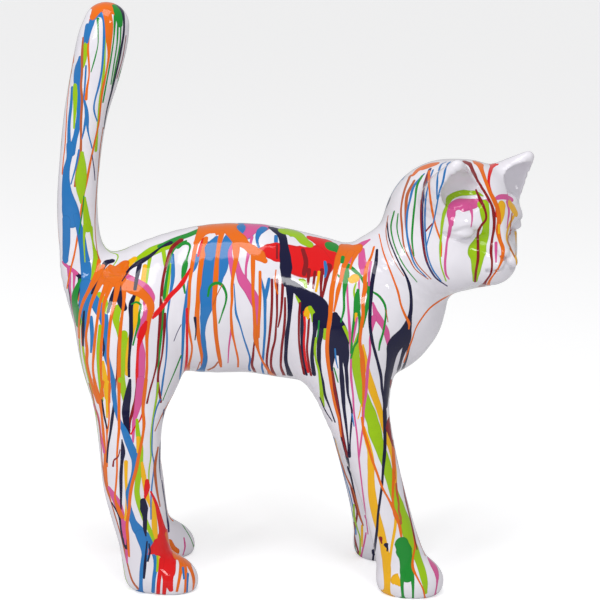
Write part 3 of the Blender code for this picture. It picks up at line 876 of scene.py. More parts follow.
HIND_LEG_POURS = [
    ("orange", (94, 380, 3), (98, 395, 4), (101, 410, 2.6), (103, 430, 2.6), (105, 455, 3), (105, 475, 4),
     (107, 488, 3), (111, 502, 1.6)),
    ("pink", (92, 402, 1.6), (98, 416, 2), (101, 436, 1.8), (104, 452, 2)),
    ("rust", (89, 384, 1.2), (94, 402, 1.2), (99, 424, 1.2), (101, 445, 1), (103, 470, 1), (108, 492, 1),
     (114, 512, 1.2), (121, 536, 1.2), (127, 562, 1.6), (132, 580, 2), (139, 590, 2)),
    ("orange", (103, 382, 3), (101, 396, 3), (103, 410, 1.7), (106, 425, 1.4), (107, 440, 1.6),
     (107, 466, 2)),
    ("yellow", (107, 382, 4), (107, 397, 4), (107, 417, 2)),
    ("orange", (110, 384, 3), (109, 402, 2), (109, 420, 1.6), (107, 436, 1.4)),
    ("navy", (102, 400, 1.4), (104, 415, 2), (107, 428, 1.6)),
    ("navy", (114, 404, 2.4), (112, 420, 3), (110, 435, 2.4), (108, 447, 2), (107, 462, 1.6)),
    ("pink", (109, 488, 3), (114, 497, 7), (119, 507, 7), (123, 520, 5), (124, 535, 4), (126, 548, 3),
     (127, 562, 2)),
    ("navy", (112, 503, 1.4), (119, 516, 2), (121, 530, 1.6), (124, 544, 2.4), (127, 548, 2.2),
     (127, 532, 1.2)),
    ("lime", (121, 380, 6), (123, 392, 5), (125, 404, 2)),
    ("yellow", (126, 462, 4), (126, 480, 3), (127, 500, 3), (125, 520, 2)),
    ("dark_red", (138, 380, 3.4), (136, 398, 3.4), (133, 410, 3), (130, 422, 2.4), (130, 434, 1)),
    ("pink", (141, 380, 8), (139, 398, 8), (137, 410, 6), (134, 422, 4), (133, 442, 2)),
    ("navy", (130, 380, 3), (128, 395, 7), (126, 408, 8), (126, 420, 7), (128, 430, 4), (129, 437, 2)),
    ("blue", (113, 380, 5), (114, 395, 5), (116, 410, 4), (119, 420, 4), (124, 430, 6), (129, 443, 8),
     (134, 455, 8), (135, 464, 6), (133, 474, 4), (130, 484, 4), (128, 493, 5), (129, 506, 5),
     (132, 519, 7), (138, 530, 10), (146, 538, 10), (153, 547, 9), (156, 556, 7), (156, 566, 5),
     (154, 578, 4), (153, 592, 4)),
    ("blue", (140, 534, 10), (144, 546, 8), (145, 556, 7), (142, 568, 5), (141, 580, 4), (141, 592, 4)),
    ("navy", (122, 440, 1.6), (123, 452, 5), (122, 461, 3.4), (121, 475, 3.4), (121, 490, 3),
     (121, 509, 1.6)),
    ("orange", (119, 384, 3.4), (119, 398, 3), (119, 415, 3), (119, 430, 3), (118, 441, 2.4), (117, 456, 2),
     (117, 470, 2), (116, 485, 2), (115, 498, 2), (118, 508, 4), (122, 517, 4)),
    ("dark_red", (120, 450, 1.2), (118, 457, 1.2), (114, 460, 1.6), (113, 466, 2)),
    ("red", (143, 411, 1.6), (140, 420, 1.6), (135, 427, 1.6), (131, 434, 1.6)),
    ("lime", (137, 420, 3), (138, 434, 5), (141, 450, 5), (140, 466, 6), (138, 480, 6), (137, 493, 6),
     (140, 506, 6), (145, 520, 5), (151, 533, 5), (156, 545, 4), (158, 558, 3), (157, 571, 2)),
    ("yellow", (138, 438, 4), (138, 452, 3)),
    ("yellow", (142, 463, 3), (144, 478, 5), (147, 495, 5), (150, 506, 2)),
    ("yellow", (153, 497, 2), (154, 511, 5), (155, 530, 5.5), (158, 546, 2.4), (160, 572, 2)),
    ("lime", (158, 383, 1.8), (157, 395, 1.8), (153, 420, 2.4), (151, 440, 2.2), (151, 456, 1.6),
     (149, 471, 1.6), (149, 487, 1.2)),
    ("blue", (160, 400, 1.8), (156, 410, 1.4), (153, 426, 1.2), (152, 450, 1.4), (154, 465, 1.2),
     (152, 485, 1.4), (151, 500, 1.5), (151, 519, 1.5)),
    ("rust", (178, 386, 1.1), (168, 404, 1.4), (162, 415, 1.1), (155, 431, 1)),
    ("rust", (158, 448, 1.6), (155, 468, 3), (157, 490, 2.4), (160, 506, 1.6)),
    ("violet", (164, 410, 1.2), (162, 430, 1.2), (160, 450, 1.4), (160, 470, 1.4), (163, 490, 1.4),
     (165, 505, 2.4), (167, 520, 2), (168, 531, 1.2)),
    ("red", (147, 481, 4), (147, 489, 6), (145, 498, 2)),
    ("red", (151, 492, 2), (156, 503, 3), (159, 515, 4.6), (162, 527, 7), (165, 540, 12), (168, 555, 15),
     (169, 568, 15), (168, 578, 12), (171, 590, 5)),
    ("red", (162, 560, 5), (159, 580, 4), (158, 594, 4)),
    ("red", (166, 574, 6), (164, 594, 3.4)),
    ("navy", (143, 501, 6), (144, 508, 8), (145, 517, 5), (145, 528, 4), (146, 536, 1)),
    ("navy", (147, 542, 1.8), (146, 552, 1.8), (145, 565, 3), (144, 578, 1.8)),
    ("navy", (149, 544, 1.4), (150, 552, 1.8), (148, 561, 2)),
    ("orange", (146, 380, 4), (144, 398, 4), (143, 410, 3.4), (144, 425, 3.2), (142, 440, 3.2),
     (139, 455, 3.2), (136, 470, 3.2), (132, 485, 3.2), (130, 497, 3.4), (129, 510, 3.4), (127, 525, 3.4),
     (128, 540, 3), (129, 556, 2)),
    ("orange", (166, 534, 2), (172, 548, 3), (178, 556, 6), (182, 562, 6), (180, 575, 3.4),
     (177, 591, 2.4)),
    ("orange", (184, 561, 4), (186, 575, 3.4), (185, 592, 2.4)),
    ("orange", (187, 561, 4), (192, 572, 3.4), (194, 581, 3), (193, 590, 1)),
    ("blue", (183, 568, 2.2), (184, 578, 2)),
    ("blue", (188, 574, 2.2), (187, 592, 1.6)),
    ("pink", (184, 538, 1.4), (185, 547, 1.8), (183, 555, 1)),
    ("green", (182, 524, 0.8), (190, 537, 0.8), (194, 547, 0.6)),
]
FLANK_POURS = [
    ("blue", (217, 238, 5), (212, 247, 13), (211, 258, 12), (209, 270, 11), (208, 282, 13), (207, 296, 14),
     (207, 307, 13), (204, 318, 8), (203, 330, 5), (203, 342, 4), (205, 356, 4), (203, 367, 4),
     (199, 373, 3)),
    ("blue", (230, 233, 6), (228, 241, 11), (225, 251, 10), (224, 261, 10), (223, 269, 9), (221, 277, 6),
     (220, 284, 3)),
    ("blue", (232, 227, 6), (238, 227.5, 11), (245, 227.5, 11), (251, 227, 9)),
    ("pink", (261, 226, 7), (254, 228, 10), (248, 234, 8), (241, 240, 5)),
    ("blue", (264, 228, 5), (259, 233, 6), (257, 240, 3), (259, 248, 2.5)),
    ("blue", (276, 236, 4), (276, 242, 4)),
    ("pink", (252, 237, 3), (250, 246, 3), (248, 256, 3), (246, 268, 2.5), (246, 281, 2)),
    ("pink", (233, 243, 2), (230, 252, 4), (231, 262, 5), (232, 274, 3), (233, 284, 2)),
    ("pink", (237, 262, 4), (239, 272, 7), (243, 281, 10), (249, 290, 10), (254, 299, 10), (257, 309, 8),
     (257, 321, 5), (257, 334, 3)),
    ("pink", (231, 314, 1.4), (231, 330, 2), (229, 346, 1.7), (228, 363, 1)),
    ("blue", (234, 284, 1), (235, 300, 1.4), (236, 313, 2.2), (240, 325, 1.6), (244, 339, 1.6),
     (248, 351, 1.8), (250, 359, 2), (249, 367, 2), (250, 371, 1.6)),
    ("blue", (261, 279, 2), (264, 292, 3), (265, 302, 3.4), (265, 315, 3), (265, 330, 2.6), (264, 345, 2.6),
     (263, 358, 2.6), (262, 367, 2), (264, 375, 1)),
    ("blue", (269, 279, 3), (267, 290, 4), (265, 300, 3)),
    ("red", (262, 251, 8), (269, 251, 16), (278, 252, 19), (286, 254, 21), (294, 258, 27), (303, 261, 30),
     (312, 261, 32), (320, 259, 33), (327, 258, 26), (332, 257, 16)),
    ("red", (311, 238, 4), (320, 241.5, 9), (328, 246, 12), (333, 258, 6)),
    ("dark_red", (277, 245, 2), (277, 258, 2.4)),
    ("dark_red", (303, 250, 4), (306, 262, 5), (304, 274, 4)),
    ("dark_red", (272, 280, 3), (272, 300, 2.6), (271, 320, 2.6), (269, 340, 2.6), (267, 356, 2.6),
     (267, 365, 2.6), (270, 374, 2.6)),
    ("dark_red", (277, 280, 3), (277, 300, 2.6), (277, 315, 2.2), (276, 327, 2), (275, 340, 2.6),
     (272, 352, 2.6), (271, 365, 2.6), (274, 375, 2.6)),
    ("dark_red", (283, 279, 3), (282, 300, 2.6), (281, 312, 2.4), (279, 323, 2), (278, 327, 1.4)),
    ("dark_red", (285, 298, 2), (285, 315, 2.6), (284, 330, 2.6), (282, 345, 2.6), (281, 358, 2.6),
     (281, 367, 2.6), (284, 375, 2)),
    ("dark_red", (256, 336, 2), (254, 345, 2), (253, 356, 2.6), (252, 365, 3), (255, 372, 1.4)),
    ("dark_red", (309, 270, 4), (308, 284, 2.6)),
    ("dark_red", (315, 272, 3), (313, 288, 2.4)),
    ("dark_red", (322, 270, 4), (321, 285, 3), (321, 298, 2.4)),
    ("dark_red", (329, 266, 6), (326, 280, 4), (324, 290, 3), (322, 299, 2)),
    ("blue", (325, 262, 3), (326, 270, 3.6), (325, 277, 2)),
    ("navy", (272, 228, 3), (278, 231, 6), (282, 236, 8), (284, 245, 9), (285, 255, 12), (286, 265, 12),
     (286, 275, 11), (287, 283, 9)),
    ("lime", (284, 231, 5), (291, 232, 6), (298, 235, 7), (304, 241, 8), (309, 244, 6)),
    ("lime", (300, 280, 3), (304, 281, 4), (306, 287, 3)),
    ("yellow", (319, 272, 3), (318, 281, 3), (316, 291, 2.4)),
    ("lime", (297, 296, 3), (300, 303, 4)),
    ("navy", (287, 282, 8), (296, 288, 11), (305, 296, 14), (313, 302, 18), (321, 309, 18), (323, 320, 13),
     (321, 332, 7), (319, 345, 4.4), (319, 360, 4), (320, 372, 4), (323, 383, 3), (325, 395, 2.4),
     (330, 408, 1.6), (335, 422, 1.3)),
    ("navy", (290, 288, 8), (290, 305, 5), (289, 320, 4), (287, 335, 4), (286, 350, 4), (286, 362, 4),
     (290, 375, 4)),
    ("navy", (304, 300, 7), (303, 312, 5), (302, 326, 3.4), (302, 342, 3.2), (303, 357, 3), (306, 374, 3)),
    ("dark_red", (300, 303, 2.4), (299, 320, 2.4), (299, 340, 2.2), (301, 358, 2.4), (304, 374, 2)),
    ("red", (304, 312, 2.4), (305, 326, 2.4), (304, 341, 2.4), (305, 356, 2.4), (308, 372, 2.4)),
    ("dark_red", (309, 319, 2.4), (308, 335, 2.4), (307, 350, 2.4), (309, 365, 2.4), (311, 375, 2.2)),
    ("yellow", (305, 314, 3), (308, 309, 5), (308, 318, 3)),
    ("lime", (310, 308, 4), (313, 314, 5), (313, 321, 3)),
    ("navy", (316, 316, 7), (315, 330, 5), (313, 345, 4), (312, 358, 4), (314, 374, 4)),
    ("green", (319, 321, 1.6), (318, 333, 1.6), (316, 344, 1.4)),
    ("lime", (316, 338, 2), (315, 350, 3), (316, 360, 2), (319, 372, 2.4), (321, 388, 3.4), (322, 398, 3.6),
     (324, 406, 1.4)),
    ("lime", (325, 330, 3), (325, 338, 4)),
    ("orange", (196, 243, 5), (202, 233, 8), (209, 228.5, 11), (218, 227.5, 11), (227, 227.5, 11),
     (233, 233, 11), (240, 240, 13), (247, 246, 9), (254, 251, 11), (260, 256, 12), (265, 261, 5)),
    ("orange", (222, 232, 6), (219, 245, 4.4), (217, 260, 4.4), (216, 275, 5), (215, 290, 5),
     (214, 305, 4.4), (215, 320, 4), (216, 335, 4), (218, 350, 4), (220, 361, 3.6), (221, 367, 2)),
    ("orange", (236, 244, 9), (236, 258, 5), (234, 270, 4), (232, 285, 3), (232, 300, 3), (231, 312, 2.6),
     (232, 330, 3), (235, 345, 2.2), (238, 359, 2.2), (238, 367, 2)),
    ("orange", (253, 256, 5), (253, 275, 4), (253, 295, 3), (254, 310, 3), (255, 325, 4), (256, 339, 5),
     (258, 349, 3), (261, 358, 2), (266, 367, 2), (272, 375, 2)),
    ("orange", (260, 272, 3), (260, 300, 3), (259, 320, 3), (258, 337, 3.6)),
    ("green", (208, 296, 2), (210, 287, 2.6), (216, 283, 3), (222, 285, 3), (226, 293, 2.6), (226, 301, 2),
     (223, 311, 1.6), (219, 323, 1.4)),
    ("rust", (222, 285, 1), (217, 295, 1), (213, 305, 1)),
    ("rust", (218, 362, 1.4), (214, 367, 1.2), (208, 370, 1)),
    ("orange", (276, 270, 1.2), (275, 280, 1.6), (276, 288, 2.2), (278, 294, 1)),
]
SHOULDER_POURS = [
    ("navy", (335, 315, 6), (338, 326, 16), (339, 337, 21), (340, 347, 20), (345, 355, 10), (346, 366, 4),
     (347, 380, 3.6), (348, 394, 2.6), (351, 406, 2), (352, 414, 2), (351, 428, 2), (350, 444, 1.6),
     (350, 456, 2)),
    ("navy", (332, 345, 7), (332, 358, 6), (331, 367, 4), (333, 380, 4), (336, 396, 4), (339, 415, 4),
     (342, 435, 4), (346, 453, 3), (349, 468, 2), (353, 486, 1.6), (358, 508, 1.2)),
    ("dark_red", (332, 372, 2), (335, 390, 2.6), (338, 408, 2.6), (341, 427, 3), (344, 443, 2.6),
     (347, 456, 2)),
    ("navy", (341, 352, 5), (341, 366, 4), (342, 380, 5), (343, 394, 4.4), (344, 408, 3.6), (346, 424, 2.6),
     (348, 442, 2), (349, 456, 3)),
    ("navy", (320, 398, 1.2), (325, 410, 1.2), (332, 421, 1)),
    ("rust", (329, 428, 1), (335, 444, 1.2), (341, 462, 1.6), (346, 476, 1.6), (352, 489, 2), (356, 503, 3),
     (359, 514, 2.4), (363, 525, 1.6)),
    ("blue", (335, 349, 1.6), (336, 360, 1.8), (338, 368, 1)),
    ("green", (334, 368, 1.4), (336, 375, 1.6), (338, 382, 1.2)),
    ("blue", (352, 414, 1.6), (354, 426, 1.2)),
    ("lime", (344, 327, 3), (349, 338, 3), (351, 347, 1.4)),
    ("lime", (358, 334, 2), (356, 345, 6), (355, 355, 9), (357, 367, 10), (359, 380, 9), (363, 395, 10),
     (368, 408, 12), (373, 422, 13), (377, 438, 13), (382, 452, 11), (387, 466, 9), (390, 480, 8),
     (395, 495, 10), (400, 508, 10), (405, 520, 10), (409, 532, 11), (413, 545, 9), (418, 558, 8),
     (422, 570, 8), (425, 583, 6), (426, 593, 3)),
    ("yellow", (363, 345, 2), (365, 356, 4), (368, 372, 5), (371, 385, 8), (375, 397, 8), (379, 408, 6),
     (382, 420, 5), (386, 434, 5), (390, 445, 5), (393, 458, 4), (395, 471, 4), (396, 486, 2)),
    ("yellow", (364, 428, 3), (367, 440, 5), (370, 452, 6), (371, 465, 7), (371, 480, 7), (372, 495, 8),
     (374, 508, 8), (377, 520, 8), (381, 534, 8), (384, 548, 8), (386, 562, 8), (387, 576, 7),
     (387, 590, 6), (388, 599, 5)),
    ("yellow", (396, 514, 3), (395, 528, 3), (392, 545, 2.6), (390, 558, 3), (388, 571, 4)),
    ("yellow", (361, 405, 1.4), (360, 412, 1.4), (358, 419, 1)),
    ("green", (333, 246.5, 9), (338, 250, 6)),
    ("pink", (356, 247, 4), (362, 244, 5), (369, 240, 2)),
    ("pink", (353, 256, 4), (350, 262, 4)),
    ("pink", (362, 250, 5), (362, 259, 8), (363, 266, 9), (363, 273, 5)),
    ("pink", (359, 278, 2), (359, 291, 1.6)),
    ("pink", (347, 284, 2), (348, 305, 2.2), (349, 318, 2.6), (350, 335, 2.6), (351, 355, 2),
     (351, 375, 2.4), (353, 395, 2), (354, 412, 1.8), (357, 435, 1.8), (359, 460, 1.8), (362, 486, 1.4),
     (365, 510, 1.2), (368, 534, 1)),
    ("green", (345, 265, 6), (346, 275, 7), (345, 285, 5), (344, 296, 2.6), (344, 309, 2.6), (342, 318, 2),
     (341, 322, 1.4)),
    ("green", (346, 280, 2.4), (340, 277, 2.6), (336, 273, 1)),
    ("green", (348, 265, 4), (355, 271, 3.6), (361, 277, 3), (366, 287, 3), (369, 297, 2.6)),
    ("green", (369, 283, 4), (369, 295, 4), (367, 306, 4), (365, 317, 3), (363, 327, 1.8)),
    ("lime", (356, 283, 1.6), (354, 291, 2), (355, 299, 2.4)),
    ("green", (358, 290, 3), (357, 299, 6), (357, 309, 7), (355, 318, 4), (353, 329, 2.6), (352, 341, 2.6),
     (351, 353, 2)),
    ("green", (359, 312, 3), (360, 327, 3), (358, 340, 2.6), (354, 347, 2), (351, 358, 2)),
    ("yellow", (356, 314, 3), (356, 321, 2.6)),
    ("pink", (357, 318, 2), (355, 330, 2), (353, 342, 1.6)),
    ("yellow", (352, 280, 8), (355, 278, 9)),
    ("orange", (354, 249, 10), (345, 250, 11), (338, 261, 7), (335, 274, 5), (332, 290, 4.6),
     (331, 304, 4.4), (330, 318, 4.4), (328, 332, 3.8), (327, 348, 3.8), (328, 362, 3.8), (330, 376, 3.4),
     (332, 390, 3.2), (335, 405, 2.8), (339, 420, 2.2), (341, 436, 1.6)),
    ("orange", (351, 252, 7), (344, 266, 5), (341, 280, 4), (338, 291, 4), (336, 302, 3), (334, 311, 2)),
    ("orange", (357, 252, 5), (353, 260, 3), (350, 269, 2)),
    ("green", (343, 257, 4), (342, 262, 4)),
    ("pink", (371, 262, 2.6), (369, 274, 2.6), (369, 285, 2)),
    ("orange", (374, 247, 2), (371, 257, 2.6), (367, 266, 3.6), (365, 277, 4.4), (365, 288, 4.2),
     (363, 300, 3.8), (363, 315, 3.6), (361, 330, 3.2), (360, 343, 3.2), (362, 355, 4.4), (363, 370, 5),
     (364, 385, 4), (364, 400, 3.6), (363, 414, 2.8), (363, 426, 2)),
    ("pink", (373, 303, 2), (376, 314, 7), (381, 322, 7), (386, 331, 6), (388, 341, 4.6), (390, 351, 3)),
    ("pink", (374, 318, 7), (372, 328, 3), (370, 340, 2.4), (370, 352, 2.6), (368, 366, 3), (367, 380, 3),
     (366, 395, 2.6), (364, 408, 2.2), (363, 425, 2), (361, 441, 2), (359, 458, 1.6)),
    ("green", (373, 292, 2), (379, 296, 2.6), (384, 303, 2.6), (386, 311, 2.2), (385, 322, 2.2),
     (383, 333, 2.2), (380, 343, 2.6), (379, 350, 1.6)),
    ("rust", (386, 310, 0.9), (388, 322, 0.9)),
    ("navy", (377, 250, 2.6), (376, 262, 3.6), (374, 272, 4), (372, 284, 4), (371, 298, 3.6),
     (370, 312, 3.6), (370, 325, 3.6), (372, 340, 3.2), (375, 352, 3), (378, 363, 3), (381, 376, 3),
     (382, 388, 2.6), (384, 401, 2.8), (385, 415, 4), (385, 430, 3.6), (385, 446, 3.6), (384, 460, 3.6),
     (383, 471, 2.6), (382, 485, 2.6), (380, 500, 2.4), (378, 515, 2.6), (377, 529, 2.6), (375, 545, 2.2),
     (373, 560, 2.2), (374, 568, 1.4)),
    ("navy", (387, 222, 1.2), (389, 238, 1.4), (394, 252, 1.4), (400, 265, 1.6), (405, 274, 2.2),
     (409, 284, 3), (411, 296, 3), (411, 309, 3.8), (409, 320, 6), (406, 330, 11), (401, 338, 15),
     (395, 346, 15), (392, 356, 10), (390, 368, 7.4), (388, 380, 6.6), (387, 393, 5.4), (386, 405, 4)),
    ("navy", (409, 325, 5), (408, 338, 7), (405, 348, 5), (402, 357, 3), (399, 367, 2.4), (396, 377, 1.8)),
    ("navy", (409, 346, 3), (406, 360, 1.8), (401, 373, 1.4), (396, 386, 1.2)),
    ("orange", (379, 234, 1), (383, 251, 1.4), (388, 265, 1.6), (393, 278, 2), (398, 292, 2.2),
     (401, 305, 2.2), (405, 315, 2.4), (409, 323, 2.8), (409, 328, 1.6)),
    ("orange", (393, 443, 2), (394, 458, 3.6), (394, 474, 3.6), (393, 490, 2.8), (393, 504, 2.4),
     (395, 514, 4), (399, 523, 3.4), (401, 534, 2.6), (402, 543, 1.6)),
    ("orange", (362, 418, 2.4), (364, 432, 3), (368, 445, 2.8), (372, 459, 2.6), (377, 473, 2.6),
     (382, 487, 2.4), (388, 498, 2.4), (393, 508, 3.4), (397, 517, 4)),
    ("green", (402, 544, 14), (404, 550, 17), (406, 558, 15), (407, 567, 14), (407, 576, 14)),
    ("green", (403, 574, 6), (402, 584, 3.6), (403, 598, 3)),
    ("green", (412, 574, 5), (413, 585, 3), (413, 598, 2.4)),
    ("orange", (413, 530, 1.6), (415, 545, 2.2), (413, 558, 2.2), (413, 568, 3), (418, 579, 1.8),
     (423, 589, 1.8), (425, 598, 1.6)),
    ("dark_red", (391, 382, 2), (391, 400, 1.6), (390, 414, 3), (389, 427, 4.6), (391, 438, 2.6),
     (395, 450, 2), (398, 463, 2), (402, 480, 1.8), (406, 500, 1.8), (410, 517, 1.6), (414, 535, 1.6),
     (417, 549, 1.2)),
    ("rust", (401, 472, 1), (405, 490, 1), (411, 512, 1), (419, 540, 1), (425, 555, 0.9)),
    ("pink", (429, 559, 2), (434, 566, 5), (437, 575, 4), (437, 584, 1.8), (435, 595, 1.2)),
    ("dark_red", (351, 488, 1.4), (354, 500, 1.6), (357, 512, 1.6), (356, 521, 2), (354, 527, 2.2),
     (355, 540, 1.8), (358, 551, 1.8), (360, 561, 2)),
    ("lime", (354, 505, 1.6), (354, 516, 2), (357, 528, 1.4), (360, 538, 1.6), (360, 556, 1.6)),
    ("yellow", (362, 526, 2.2), (362, 537, 2.2), (362, 546, 1.2)),
    ("pink", (366, 533, 1.6), (364, 544, 1.6), (361, 557, 1.6)),
    ("orange", (454, 293, 1), (441, 300, 1.4), (430, 308, 1.6), (422, 318, 1.6), (416, 328, 1.4),
     (412, 340, 1.6), (408, 351, 1.4), (404, 362, 1)),
]
HEAD_POURS = [
    ("rust", (410, 176, 2), (404, 192, 2), (401, 210, 2), (402, 227, 2), (404, 246, 1.6), (410, 260, 1.4),
     (416, 270, 1.2), (428, 279, 1)),
    ("rust", (414, 181, 2), (407, 196, 3), (406, 215, 3), (407, 234, 2), (412, 252, 1.6), (418, 265, 1.2),
     (431, 279, 0.9)),
    ("blue", (424, 174, 2), (414, 186, 3), (410, 200, 2.4), (407, 215, 2.2), (407, 234, 2), (411, 254, 2),
     (416, 266, 1.4), (426, 277, 1)),
    ("green", (422, 176, 2), (417, 186, 2), (415, 202, 2), (413, 221, 2.2), (412, 240, 2), (414, 256, 1.2)),
    ("green", (394, 212, 1.6), (391, 226, 1.6), (393, 240, 1.4), (398, 254, 1.3), (405, 267, 1.2),
     (417, 282, 0.9)),
    ("rust", (388, 216, 0.8), (386, 232, 0.8), (389, 248, 0.8), (396, 264, 0.8), (404, 276, 0.8)),
    ("green", (398, 214, 1.2), (397, 228, 1.3), (400, 242, 1.1), (405, 253, 0.9)),
    ("violet", (430, 169, 2), (427, 177, 2.6), (424, 190, 3), (422, 205, 3), (422, 222, 3), (423, 240, 3),
     (425, 255, 2.6), (429, 267, 2.2), (436, 278, 1.8), (447, 286, 1.2)),
    ("dark_red", (428, 173, 1.4), (423, 190, 1.4), (421, 206, 1.6), (421, 226, 1.6), (423, 245, 1.6),
     (427, 262, 1.2)),
    ("blue", (433, 170, 1.6), (429, 182, 2), (426, 197, 2.2), (425, 212, 2), (425, 228, 2), (426, 244, 2),
     (428, 257, 1.8), (433, 270, 1.6), (441, 281, 1.2)),
    ("orange", (429, 171, 2), (429, 181, 2), (430, 196, 2), (433, 215, 2), (437, 230, 2), (441, 242, 2),
     (441, 256, 1.8)),
    ("orange", (414, 174, 3), (419, 169, 5), (427, 166, 6), (435, 164, 4)),
    ("blue", (446, 162, 1.6), (441, 165, 2), (438, 175, 2), (437, 187, 2), (437, 199, 1.4)),
    ("blue", (450, 162, 2), (448, 164, 2.6), (445, 171, 2.4), (443, 181, 2), (440, 190, 2), (438, 199, 1.6),
     (436, 210, 1.6), (434, 220, 1.4), (431, 230, 1.4), (428, 240, 1.4), (426, 249, 1)),
    ("dark_red", (426, 231, 1.6), (432, 224, 1.6)),
    ("lime", (446, 281, 1.4), (441, 265, 1.6), (440, 250, 2), (441, 237, 2.4), (442, 225, 3),
     (444, 214, 3.6), (447, 206, 4), (449, 199, 6), (455, 195, 6), (462, 193, 5.4), (470, 193, 5),
     (477, 193, 3.6), (483, 196, 1.6)),
    ("pink", (451, 224, 5), (451, 216, 8), (452, 209, 9), (457, 204, 12), (466, 203, 12), (475, 203, 10),
     (481, 203, 7), (488, 201, 4)),
    ("pink", (451, 222, 4), (449, 234, 3), (447, 242, 2), (446, 252, 2.6), (445, 264, 2.6), (446, 274, 2),
     (449, 279, 1.2)),
    ("pink", (470, 206, 4), (472, 214, 2.4), (472, 221, 1.6), (471, 227, 1)),
    ("lime", (484, 205, 10), (485, 214, 10), (486, 224, 7), (485, 234, 8), (480, 243, 14), (477, 252, 18),
     (477, 260, 14), (476, 271, 9), (475, 281, 5)),
    ("dark_red", (476, 190, 2), (480, 199, 3.6), (485, 210, 2.6), (486, 219, 2.4), (481, 226, 2.4),
     (478, 233, 2.4), (478, 246, 2.8), (478, 259, 3), (476, 271, 2.6), (475, 282, 2)),
    ("pink", (495, 199, 3), (500, 197, 5), (506, 197, 5), (511, 199, 3)),
    ("pink", (507, 202, 2), (509, 211, 2), (508, 220, 1.6), (507, 228, 1)),
    ("yellow", (502, 206, 7), (502, 214, 6), (500, 223, 3)),
    ("yellow", (510, 204, 4), (513, 208, 5), (516, 213, 4)),
    ("yellow", (514, 216, 2), (509, 226, 2), (507, 238, 2), (511, 249, 2), (516, 259, 1.6)),
    ("rust", (512, 214, 1.5), (511, 222, 1.3), (510, 231, 1.3), (508, 240, 1.5), (511, 249, 1.5),
     (515, 257, 1.3)),
    ("yellow", (516, 232, 1.6), (516, 245, 1.6), (516, 256, 1.6), (517, 265, 1.4)),
    ("pink", (496, 243, 3), (496, 252, 3), (496, 262, 1.6)),
    ("dark_red", (464, 161, 2), (470, 165, 3), (475, 176, 2.6), (481, 186, 2.6), (487, 196, 2.6),
     (492, 206, 3), (494, 216, 3.6), (494, 228, 3), (492, 240, 2.6), (491, 252, 3), (492, 262, 2.2),
     (491, 273, 2), (486, 281, 2), (482, 288, 3)),
    ("red", (495, 162, 3), (493, 165, 4), (491, 169, 3.6), (489, 177, 3), (489, 185, 2.6), (492, 195, 2.6),
     (496, 205, 2.6), (497, 216, 3)),
    ("orange", (474, 161, 2), (479, 164, 4.6), (482, 171, 3.6), (486, 182, 3.6), (490, 192, 4),
     (495, 202, 5), (498, 210, 4), (499, 220, 4.4), (498, 230, 4.6), (500, 240, 4), (503, 249, 4),
     (502, 259, 3), (499, 267, 2), (495, 273, 1.6), (490, 280, 2), (487, 288, 2.6)),
    ("yellow", (499, 225, 2), (499, 233, 2)),
]
for row in TAIL_POURS + RUMP_POURS + HIND_LEG_POURS + FLANK_POURS + SHOULDER_POURS:
    pour(*row)
for row in HEAD_POURS:
    pour(*row, widest=1.3 if row[0] == "blue" else 2.4)


# How the pours lie on one another: each face of the casting carries the few pours that cross it, and
# each of its corners says how far it is aside of a pour's middle line, how far past its end, and which
# colour the pour has. The edge of a pour is so drawn sharp between the corners.
# What a corner says that no pour reaches, how far beyond a pour and how far off its level the corners are
# measured, and how many pairs of places are compared at once
NOWHERE = (9.0, 9.0, 0.0)
SPARE = 2.5 * NET_STEP
DEEPEST = 1.6 * NET_STEP
PAIRS_AT_ONCE = 400000


